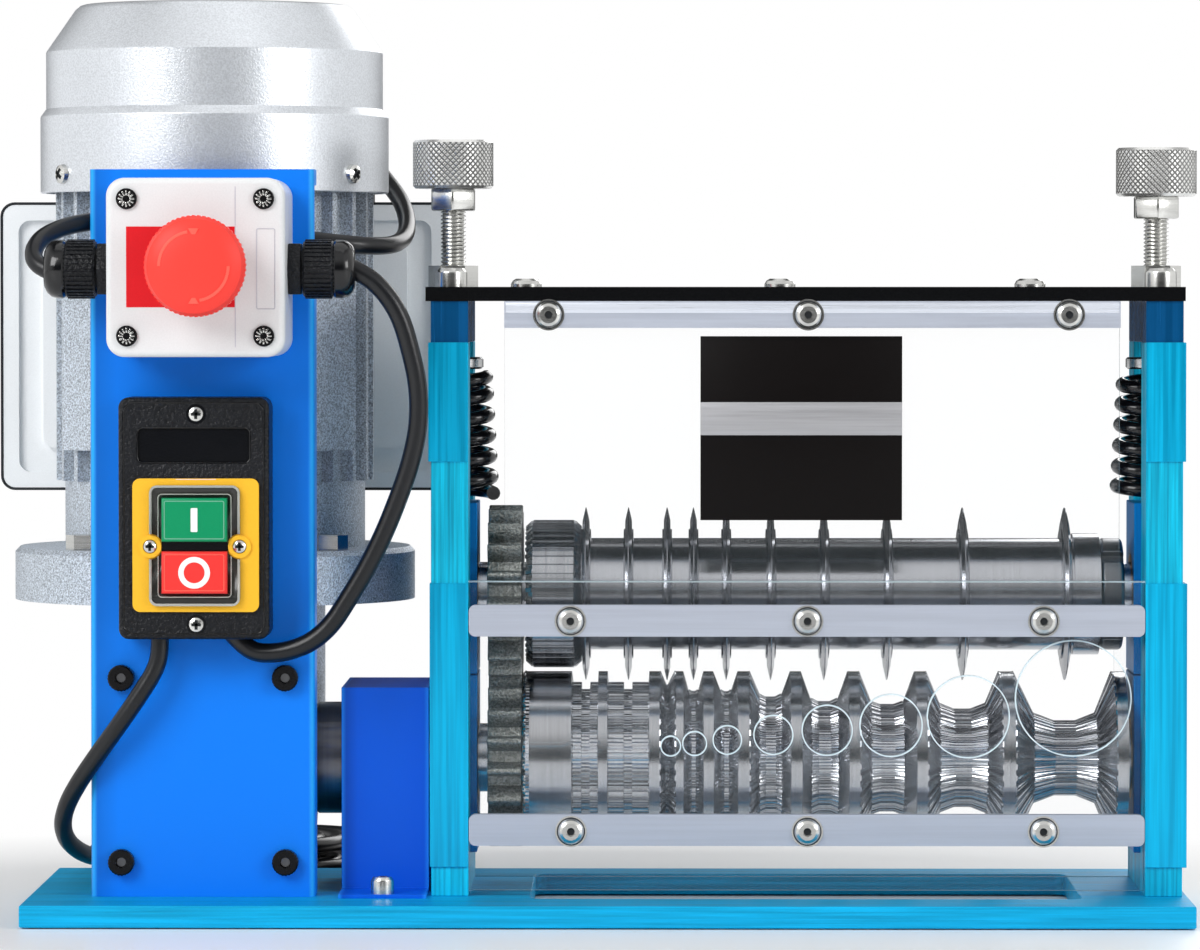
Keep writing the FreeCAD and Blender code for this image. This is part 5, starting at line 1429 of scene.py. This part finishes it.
    def sleeves(self) -> None:
        """The spacer sleeves between the blades, the last with a collar."""
        half = self.blade_half + self.hub[0]
        starts = [self.spacers[0]] + [x + half for x in self.blade_places]
        ends = [x - half for x in self.blade_places] + [self.spacers[1]]
        pieces = []
        for start, end in zip(starts, ends):
            wide = end - start
            if wide < 0.6:
                continue
            profile = [(0, self.shaft_radius), (0, self.spacer_radius), (wide, self.spacer_radius),
                       (wide, self.shaft_radius), (0, self.shaft_radius)]
            if end > self.collar[0]:
                at = self.collar[0] - start
                profile[2:3] = [(at, self.spacer_radius), (at, self.collar[1]), (wide, self.collar[1])]
            pieces.append(lathe("sleeve", place(start, self.axis_y, self.upper_z), RIGHTWARD, profile, 96))
        stand_in(smooth(joined("blade_spacers_turned", pieces), FINE_ANGLE), "blade_spacers", "steel")


@dataclass(frozen=True)
class Screw:
    """A socket screw's sizes in millimetres."""
    head: float
    height: float
    key: float
    shank: float
    length: float
    domed: bool = False
    knurled: bool = False

    def pattern(self) -> Piece:
        """The screw at the origin, its head above."""
        h, r = self.height, self.head
        crown = [(h * 0.35, r), (h * 0.75, r * 0.88), (h, r * 0.66)] if self.domed else [(h - 0.5, r), (h, r - 0.5)]
        profile = [(-self.length, 0), (-self.length, self.shank), (0, self.shank), (0, r), *crown, (h, 0)]
        steps = 48
        piece = lathe("screw", Vector(), UPWARD, profile, steps)
        if self.knurled:
            ribbed(piece, UPWARD, Vector(), steps, (r - 0.2, r + 1), 0.12)
        tool = prism("socket", metres(0, 0, h * 0.4), UPWARD, self.key / math.sqrt(3) * MM, h * MM, 6, 0)
        return smooth(cut(piece, tool), 25.0)

    def floor(self) -> Piece:
        """A disc at the bottom of the socket at the origin; its finish paints shade into the button sockets and a glint
        into the column sockets.
        """
        half = self.key * 0.44
        return lathe("floor", metres(0, 0, self.height * 0.4), UPWARD, [(0, 0), (0, half), (0.1, half), (0.1, 0)], 24)


def cross_arms(name: str, radius: float, foot: float, top: float) -> Iterator[Piece]:
    """Make two crossing bars between two heights, one at a time, for a head's radius in millimetres."""
    long, wide = radius * 0.62, radius * 0.2
    for x, y in ((long, wide), (wide, long)):
        yield block(name, metres(-x, -y, foot), metres(x, y, top), 0)


def cross_floor(radius: float, height: float) -> Piece:
    """A dark cross at the bottom of a cross recess at the origin, painted shade, its sizes in millimetres."""
    foot = height * 0.35
    return joined("cross", cross_arms("arm", radius, foot, foot + 0.1))


def crossed(radius: float, height: float) -> Piece:
    """A raised head with a cross recess at the origin, its sizes in millimetres."""
    profile = [(0, 0), (0, radius), (height * 0.6, radius * 0.9), (height * 0.95, radius * 0.5), (height, 0)]
    piece = lathe("head", Vector(), UPWARD, profile, 32)
    for arm in cross_arms("slot", radius, height * 0.35, height * 2):
        cut(piece, arm)
    return smooth(piece, 25.0)


def spread(name: str, pattern: Piece, places: Iterable[tuple[Vector, Vector]]) -> Piece:
    """Copies of a pattern piece stood on points along axes, joined; the pattern is removed."""
    pieces = [copied(pattern, point, axis) for point, axis in places]
    scrapped(pattern)
    return joined(name, pieces)


@dataclass
class Guards:
    """The clear sheets, their bars and screws, and the bare name plate."""
    plate_x: tuple[float, float] = (35.8, 114.0)
    plate_z: tuple[float, float] = (154.5, 225.9)
    band_z: tuple[float, float] = (187.5, 200.3)
    sheet_front: float = -36.0
    sheet_back: float = -33.0
    bar_front: float = -41.0
    bar_rows: Sequence[tuple[tuple[float, ...], float]] = (
        ((-23.0, 77.5, 178.4), 234.2), ((-14.6, 77.3, 168.8), 115.5), ((-14.4, 77.3, 168.8), 33.8),
    )
    top_places: Pairs = ((-31.9, -30.0), (66.7, -30.0), (163.8, -30.0))
    plate_top: float = 245.0
    holes: Sequence[tuple[float, float, float]] = (
        (24.3, 58.1, 7.2), (33.6, 59.1, 8.8), (46.3, 60.5, 10.6), (64.2, 62.5, 14.7), (85.1, 64.3, 19.0),
        (109.9, 66.2, 23.7), (139.9, 69.6, 31.4), (180.6, 76.8, 44.4),
    )
    base: float = 8.5
    sheet_x: tuple[float, float] = (-54.2, 208.2)
    edges: Sequence[tuple[float, float, float]] = ((-36.0, -33.0, 130.3), (43.0, 46.0, 132.2))

    def build(self) -> None:
        """Dress the guards."""
        for node in ("feed_plate", "upper_guard", "rear_guard"):
            kept(node, "clear")
        refined_all([(node, "satin_aluminium", 0.0006) for node in ("top_bar", "middle_bar", "lower_bar")])
        self.screws()
        self.rims()
        self.trims()
        self.label()

    def screws(self) -> None:
        """The button-head screws, each with a dark disc painted as shade in its socket, a dark ring painted as shade in
        the gap round its head, and a bright washer.
        """
        rows = [(place(x, self.bar_front, z), FORWARD) for row, z in self.bar_rows for x in row]
        tops = [(place(x, y, self.plate_top), UPWARD) for x, y in self.top_places]
        bar_head = Screw(5.0, 2.8, 3.4, 2.5, 5.0, True)
        top_head = Screw(6.0, 3.2, 4.0, 2.5, 5.4, True)
        for name, slot, look, bar, top in (
            ("button_heads", "zinc", "zinc", bar_head.pattern(), top_head.pattern()),
            ("button_sockets", "black_screw", "edge_dark", bar_head.floor(), top_head.floor()),
        ):
            piece = joined(name, [spread("bar_" + name, bar, rows), spread("top_" + name, top, tops)])
            dress(piece, "frame", slot, look, ["button_screws"] if name == "button_heads" else ())
        # painted shade: a dark ring in the gap between head and washer
        gap = ring("gap", Vector(), UPWARD, 4.8, 5.5, 0.12)
        dress(spread("button_gaps", gap, rows), "frame", "black_screw", "edge_dark")
        washer = ring("washer", Vector(), UPWARD, 5.5, 6.1, 0.25)
        dress(spread("button_washers", washer, rows), "frame", "zinc", "zinc")

    def rims(self) -> None:
        """Bright rings round the feed holes on both faces of the sheet: painted highlight on the cut rims."""
        rims = []
        for x, height, across in self.holes:
            for y, axis in ((self.sheet_front, FORWARD), (self.sheet_back, Axis.Y.vector)):
                centre = place(x, y, self.base + height)
                rims.append(ring("rim", centre, axis, across / 2, across / 2 + 0.45, 0.08, 72))
        dress(joined("feed_hole_rims", rims), "frame", "clear", "sheet_edge")

    def trims(self) -> None:
        """Bright strips on the sheets' edges and a lighter aluminium strip on the top bar's upper half, all painted
        highlight.
        """
        (left, right), thick = self.sheet_x, 0.6
        # bright strips over the sheets' top edges: painted highlight
        upper, rear = (block("sheet_edge", place(left, front, foot), place(right, back, foot + thick), 0)
                       for front, back, foot in self.edges)
        dress(joined("sheet_edges", [upper, rear]), "frame", "clear", "sheet_edge")
        # the top bar's upper half: a lighter copy of its aluminium, painted highlight
        low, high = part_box("top_bar")
        half = block("top_bar_upper_half", (low.x + 0.0006, low.y - 0.0001, high.z - 0.0046),
                     (high.x - 0.0006, low.y + 0.001, high.z - 0.0006), 0.00005)
        dress(half, "frame", "satin_aluminium", "bright_aluminium")

    def label(self) -> None:
        """The bare black plate with a silver band."""
        front = self.sheet_front
        plate = block("guard_label", place(self.plate_x[0], front - 0.5, self.plate_z[0]),
                      place(self.plate_x[1], front, self.plate_z[1]), 0.0001)
        dress(plate, "frame", "black_plate", "label_black")
        band = block("guard_label_band", place(self.plate_x[0] + 0.02, front - 0.6, self.band_z[0]),
                     place(self.plate_x[1] - 0.02, front - 0.45, self.band_z[1]), 0.00003)
        dress(band, "frame", "satin_aluminium", "label_silver")


@dataclass
class Column:
    """The folded column, the coupling cover and their screws."""
    front: float = -43.5
    screw_x: tuple[float, float] = (-188.6, -125.0)
    screw_z: tuple[float, float] = (22.1, 93.6)

    def build(self) -> None:
        """Dress the column."""
        refined_all((("column", "column_blue", 0.0004), ("coupling_cover", "cover_blue", 0.0004)))
        places = [(place(x, self.front, z), FORWARD) for x in self.screw_x for z in self.screw_z]
        cap = Screw(5.0, 4.6, 4.0, 2.95, 2.9, False, True)
        dress(spread("column_screws", cap.pattern(), places), "frame", "black_screw", "black_screw", ["cap_screws"])
        # painted glint: a lighter steel disc in each black socket
        dress(spread("column_screw_sockets", cap.floor(), places), "frame", "zinc", "dark_steel")


@dataclass
class Drive:
    """The gear unit, the motor and its terminal box."""
    motor: tuple[float, float] = (-158.3, 45.0)
    cowl_foot: float = 282.5
    cowl_step: float = 312.5
    cowl_shoulder: float = 338.9
    cowl_top: float = 357.5
    cowl_radii: tuple[float, float, float] = (69.6, 67.3, 54.1)
    cowl_skin: float = 2.0
    frame_top: float = 284.5
    air_holes: Sequence[tuple[float, int]] = ((16.0, 6), (29.0, 12), (42.0, 18))
    air_hole_radius: float = 4.5
    lug_angles: tuple[float, ...] = (10, 130, 250)
    castings: Looks = (
        ("reducer_case", "cast_silver", 0.001), ("worm_wheel", "bronze", 0.0), ("shaft_coupling", "dark_steel", 0.0),
        ("motor_frame", "cast_silver", 0.0008), ("rotor", "dark_steel", 0.0), ("cooling_fan", "black_plastic", 0.0),
    )

    def build(self) -> None:
        """Dress the drive."""
        refined_all(self.castings)
        self.cowl()
        refined_all((("terminal_box", "pan_grey", 0.0), ("hex_fasteners", "zinc", 0.0006)))
        low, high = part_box("terminal_box")
        outline = rim("terminal_box_outline", (low.x, low.y - 0.0002, low.z), (high.x, low.y + 0.0004, high.z),
                      0.006, 0.0011)
        dress(outline, "frame", "silver_paint", "edge_dark")

    def cowl(self) -> None:
        """The pressed fan cowl, with round air holes in its top and three lugs inside."""
        outer, upper, top = self.cowl_radii
        skin, foot, step, shoulder, crown = (self.cowl_skin, self.cowl_foot, self.cowl_step, self.cowl_shoulder,
                                             self.cowl_top)
        profile = [
            (foot, outer - skin), (foot, outer - 0.4), (foot + 0.4, outer), (step, outer), (step + 0.6, outer - 0.2),
            (step + 3.5, upper), (shoulder - 0.4, upper), (shoulder + 0.3, upper - 0.4), (crown - 2, top + 1.5),
            (crown - 0.4, top - 0.4), (crown, top - 1.6), (crown, 0), (crown - skin, 0), (crown - skin, top - 3),
            (shoulder - 1, upper - skin), (step + 3.5, upper - skin), (step, outer - skin), (foot, outer - skin),
        ]
        shell = lathe("fan_cowl_pressed", place(*self.motor, 0), UPWARD, profile, 144)
        drills = []
        for radius, count in self.air_holes:
            for number in range(count):
                angle = math.tau * number / count
                x, y = self.motor[0] + radius * math.cos(angle), self.motor[1] + radius * math.sin(angle)
                drills.append(prism("drill", place(x, y, crown - 5), UPWARD, self.air_hole_radius * MM, 0.01, 24, 0))
        cut(shell, joined("drills", drills))
        lugs = []
        for angle in self.lug_angles:
            lug = block("lug", metres(54.0, -6.0, self.frame_top), metres(outer - 1.4, 6.0, self.frame_top + 5), 0.0003)
            lug.data.transform(turned_about(place(*self.motor, 0), math.radians(angle), "Z", Vector()))
            lugs.append(lug)
        whole = smooth(joined("fan_cowl_pressed", [shell, *lugs]), FINE_ANGLE)
        stand_in(weighted(whole), "fan_cowl", "silver_paint")


@dataclass
class StopStation:
    """The white box with the red mushroom head and its two glands."""
    left: float = -190.0
    width: float = 68.0
    front: float = -93.0
    head: Point = (-154.8, -105.2, 252.7)
    head_radius: float = 19.2
    gland_y: float = -68.0
    gland_z: float = 251.8
    gland_across: float = 19.5
    field_x: tuple[float, float] = (-182.2, -141.0)
    field_z: tuple[float, float] = (237.2, 267.8)
    groove_z: tuple[float, float] = (222.0, 283.0)
    groove_width: float = 0.4
    frame_x: tuple[float, float] = (-132.9, -125.6)
    frame_z: tuple[float, float] = (236.4, 267.2)

    def build(self) -> None:
        """Dress the station."""
        refined("stop_box", "white_plastic")
        refined("stop_stem", "red_plastic")
        self.face()
        self.mushroom()
        self.glands()

    def face(self) -> None:
        """The bare red field, with the fine groove and the shallow frame beside it drawn as darker white lines, painted
        shade.
        """
        y = self.front
        (left, right), (foot, top) = self.field_x, self.field_z
        field_plate = block("stop_field", place(left, y - 0.15, foot), place(right, y, top), 0)
        dress(field_plate, "frame", "red_plastic", "label_red")
        groove = block("stop_groove", place(right, y - 0.08, self.groove_z[0]),
                       place(right + self.groove_width, y, self.groove_z[1]), 0)
        (left, right), (foot, top) = self.frame_x, self.frame_z
        frame_line = rim("stop_frame", place(left, y - 0.12, foot), place(right, y, top), 0.0008, 0.0004)
        dress(joined("stop_lines", [groove, frame_line]), "frame", "white_plastic", "shade_white")

    def mushroom(self) -> None:
        """The red head with its serrated rim and raised turning arrows, the arrows painted a lighter red as painted
        highlight.
        """
        r, steps = self.head_radius, 120
        start = place(*self.head)
        profile = [(0, 0), (0, r - 3), (1.5, r - 0.3), (8.0, r - 0.3), (10.4, r - 1.4), (12.2, r - 4.0),
                   (13.3, r - 8.0), (13.8, 6.0), (14.0, 2.0), (14.0, 0)]
        cap = lathe("stop_cap", start, FORWARD, profile, steps)
        ribbed(cap, FORWARD, start, steps, (r - 1.8, r + 1), 0.28)
        stand_in(smooth(cap, 40.0), "stop_mushroom", "red_plastic")
        arrows = []
        for turn in (0.0, math.pi):
            arc = lathe("arc", start, FORWARD, [(12.6, 12.4), (13.15, 12.5), (13.0, 13.6), (12.2, 13.6), (12.6, 12.4)],
                        36, 80.0)
            tip = prism("tip", start + FORWARD * 0.0122 + metres(0, 0, -13.0), FORWARD, 2.3 * MM, 0.9 * MM, 3, 0.0001)
            spin = turned_about(start, turn, "Y", start)
            for piece in (arc, tip):
                piece.data.transform(spin)
                arrows.append(piece)
        dress(joined("stop_arrows", arrows), "stop_head", "red_plastic", "rim_red")

    def glands(self) -> None:
        """The two cable glands: hexagon, finely ribbed nut and glossy dome."""
        bodies, domes, steps = [], [], 72
        for x, axis in ((self.left, RIGHTWARD * -1), (self.left + self.width, RIGHTWARD)):
            start = place(x, self.gland_y, self.gland_z)
            flats = prism("flats", start, axis, self.gland_across / math.sqrt(3) * MM, 5 * MM, 6, 0.0005)
            core = lathe("core", start, axis, [(4.0, 0), (4.0, 8.5), (6.2, 8.5), (6.2, 0)], 48)
            grip = lathe("grip", start, axis, [(5.6, 0), (5.6, 10.2), (6.4, 10.9), (16.6, 10.9), (17.6, 10.3),
                                               (17.6, 0)], steps)
            ribbed(grip, axis, start, steps, (10.7, 12), 0.5)
            bodies += [flats, core, grip]
            domes.append(lathe("dome", start, axis, [
                (17.3, 0), (17.3, 10.6), (18.2, 11.2), (20.5, 11.2), (22.8, 10.6), (24.4, 9.2), (25.4, 7.2), (25.4, 0),
            ], 64))
        dress(joined("gland_bodies", bodies), "frame", "black_plastic", "black_plastic", ["cable_glands"])
        dress(joined("gland_domes", domes), "frame", "black_plastic", "gloss_black")


@dataclass
class PanelScrews:
    """The small screws in the two boxes' faces and round the cowl."""
    stop_middle: tuple[float, float] = (-156.0, 252.3)
    stop_reach: float = 26.0
    stop_front: float = -93.0
    switch_x: float = -157.9
    switch_front: float = -65.0
    switch_z: tuple[float, float] = (115.3, 196.2)
    plate_front: float = -66.5
    plate_places: Pairs = ((-175.5, 145.4), (-141.1, 145.4))
    motor: tuple[float, float] = (-158.3, 45.0)
    cowl_radius: float = 69.6
    cowl_z: float = 289.5
    cowl_angles: tuple[float, ...] = (215.0, 325.0, 90.0)

    def build(self) -> None:
        """Make every small screw."""
        (x, z), reach = self.stop_middle, self.stop_reach
        self.corner_caps([(place(x + dx * reach, self.stop_front, z + dz * reach), FORWARD)
                          for dx in (-1, 1) for dz in (-1, 1)])
        small = [(place(self.switch_x, self.switch_front, z), FORWARD) for z in self.switch_z]
        plate = [(place(x, self.plate_front, z), FORWARD) for x, z in self.plate_places]
        cowl = []
        for angle in self.cowl_angles:
            way = Vector((math.cos(math.radians(angle)), math.sin(math.radians(angle)), 0))
            cowl.append((place(*self.motor, self.cowl_z) + way * self.cowl_radius * MM, way))
        groups = ((3.0, 1.3, small), (2.65, 1.9, plate), (4.0, 2.6, cowl))
        heads = joined("panel_heads", [spread("heads", crossed(*size), spots) for *size, spots in groups])
        dress(heads, "frame", "zinc", "zinc", ["panel_screws"])
        # painted shade: a dark cross at the bottom of each recess
        crosses = joined("panel_crosses", [spread("crosses", cross_floor(*size), spots) for *size, spots in groups])
        dress(crosses, "frame", "black_screw", "edge_dark")
        # painted shade: a near-black ring round each small screw
        sink = spread("switch_sinks", ring("sink", Vector(), UPWARD, 2.9, 3.8, 0.1), small)
        dress(sink, "frame", "black_plastic", "recess_black")

    def corner_caps(self, corners: Sequence[tuple[Vector, Vector]]) -> None:
        """Black discs with a silver, radially toothed ring."""
        disc = lathe("disc", Vector(), UPWARD, [(0, 0), (0, 4.0), (1.1, 4.0), (1.5, 3.6), (1.2, 3.3), (1.2, 0)], 48)
        dress(spread("corner_discs", disc, corners), "frame", "black_screw", "black_screw")
        teeth = []
        for number in range(12):
            tooth = block("tooth", metres(1.3, -0.32, 1.0), metres(3.1, 0.32, 1.7), 0.0001)
            tooth.data.transform(Matrix.Rotation(math.radians(30 * number), 4, "Z"))
            teeth.append(tooth)
        star = joined("star", teeth)
        dress(spread("corner_stars", star, corners), "frame", "zinc", "zinc")


@dataclass
class SwitchStation:
    """The switch box with its yellow plate, two buttons and the clear frame over them."""
    left: float = -187.8
    width: float = 58.0
    foot: float = 109.6
    height: float = 93.0
    front: float = -65.0
    plate_front: float = -66.5
    button_x: float = -158.3
    button_half: float = 12.6
    key_front: float = -70.5
    green_z: tuple[float, float] = (147.3, 164.1)
    red_z: tuple[float, float] = (127.4, 143.6)
    looks: Looks = (
        ("switch_box", "black_plastic", 0.0), ("switch_plate", "yellow_plastic", 0.0002),
        ("start_button", "green_plastic", 0.0), ("halt_button", "halt_red", 0.0),
    )
    cover_reach: float = 17.4
    cover_z: tuple[float, float] = (122.6, 168.9)
    line_x: tuple[float, float] = (-165.6, -150.2)
    line_z: tuple[float, float] = (171.0, 171.3)
    boss_places: Pairs = ((-175.5, 145.4), (-141.1, 145.4))

    def build(self) -> None:
        """Dress the station."""
        refined_all(self.looks)
        self.recess()
        self.plate()
        self.marks()

    def recess(self) -> None:
        """The near-black window above the buttons, painted darker than the box as shade in its recess."""
        middle, top = self.left + self.width / 2, self.foot + self.height
        front, inset = self.front, 1.8
        window = rounded_panel("switch_window", *centred(middle, 21.6, (front + 1.0, front + 1.6),
                                                         (top - 25.1, top - 11.7)), 0.0024)
        dress(window, "frame", "black_plastic", "recess_black")
        lip = rim("switch_lip", *centred(middle, 21.9, (front - 0.25, front), (top - 25.4, top - 11.4)), 0.0024, 0.0005)
        edge = rim("switch_edge", place(self.left + inset, front - 0.2, self.foot + inset),
                   place(self.left + self.width - inset, front, top - inset), 0.004, 0.0005)
        dress(joined("switch_lines", [lip, edge]), "frame", "black_plastic", "gloss_black")

    def plate(self) -> None:
        """The bosses round the side screws, the clear frame round the buttons over a dark grey panel painted as its
        shadow, a near-black block painted as shade between the keys, and the pale line above them.
        """
        x, y, half, reach, inset = self.button_x, self.plate_front, self.button_half, self.cover_reach, 3.2
        low, high = self.cover_z
        bosses = [ring("boss", place(spot[0], y, spot[1]), FORWARD, 2.7, 4.4, 0.9) for spot in self.boss_places]
        dress(joined("switch_bosses", bosses), "frame", "yellow_plastic", "yellow_plastic")
        notches = joined("notches", [
            lathe("notch", place(spot[0], y + 2, spot[1]), FORWARD, [(0, 0), (0, 4.9), (6, 4.9), (6, 0)], 32)
            for spot in self.boss_places
        ])
        # painted shadow: a dark grey panel under the clear frame
        panel = rim("switch_panel", *centred(x, reach, (y - 0.6, y), (low, high)), 0.003, reach * MM - half * MM)
        dress(cut(panel, copied(notches, Vector())), "frame", "clear", "panel_grey")
        outline = rim("switch_cover", *centred(x, reach, (y - 2.4, y - 0.2), (low, high)), 0.003, 0.0009)
        inner = rim("switch_inner", *centred(x, reach - inset, (y - 1.6, y - 0.4), (low + inset, high - inset)),
                    0.0016, 0.0004)
        dress(cut(joined("switch_cover", [outline, inner]), notches), "frame", "clear", "clear_frame")
        # painted shade: a near-black block between the keys
        middle = block("switch_middle", *centred(x, half, (y + 0.2, y + 1.2), (self.red_z[1], self.green_z[0])), 0)
        dress(middle, "frame", "black_plastic", "recess_black")
        line = block("switch_line", place(self.line_x[0], y - 0.1, self.line_z[0]),
                     place(self.line_x[1], y, self.line_z[1]), 0)
        dress(line, "frame", "white_plastic", "pale_red")

    def marks(self) -> None:
        """The generic I and O marks, and the keys' rims painted paler as painted highlight."""
        x, y, half = self.button_x, self.key_front, self.button_half
        for name, body, (low, high), look in (("start", "start_key", self.green_z, "pale_green"),
                                              ("halt", "halt_key", self.red_z, "rim_red")):
            edge = rim(f"{name}_edge", *centred(x, half - 1.0, (y - 0.1, y + 0.3), (low + 1.0, high - 1.0)),
                       0.0008, 0.0004)
            dress(edge, body, "white_plastic", look)
        middle = sum(self.green_z) / 2
        stroke = rounded_panel("start_mark", *centred(x, 1.3, (y - 0.12, y + 0.2), (middle - 4.6, middle + 4.6)),
                               0.0004)
        dress(stroke, "start_key", "white_plastic", "mark_white")
        circle = ring("halt_mark", place(x, y + 0.2, sum(self.red_z) / 2), FORWARD, 4.0, 6.1, 0.32)
        dress(circle, "halt_key", "white_plastic", "mark_white")


def write_sizes() -> None:
    """Measure the CAD box and the dressed box."""
    boxes = {"cad": CAD_BOX, "dressed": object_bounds()}
    plain = {name: [list(low), list(high)] for name, (low, high) in boxes.items()}


def main() -> None:
    """Build the studio and every sub-assembly in order."""
    logging.basicConfig(level=logging.INFO, format="%(message)s")
    stations = (StopStation, SwitchStation, PanelScrews)
    for maker in (Studio, Leads, Bench, Pressure, Rollers, Guards, Column, Drive, *stations):
        LOG.info("building %s", maker.__name__)
        maker().build()
    write_sizes()


if __name__ == "__main__":
    main()
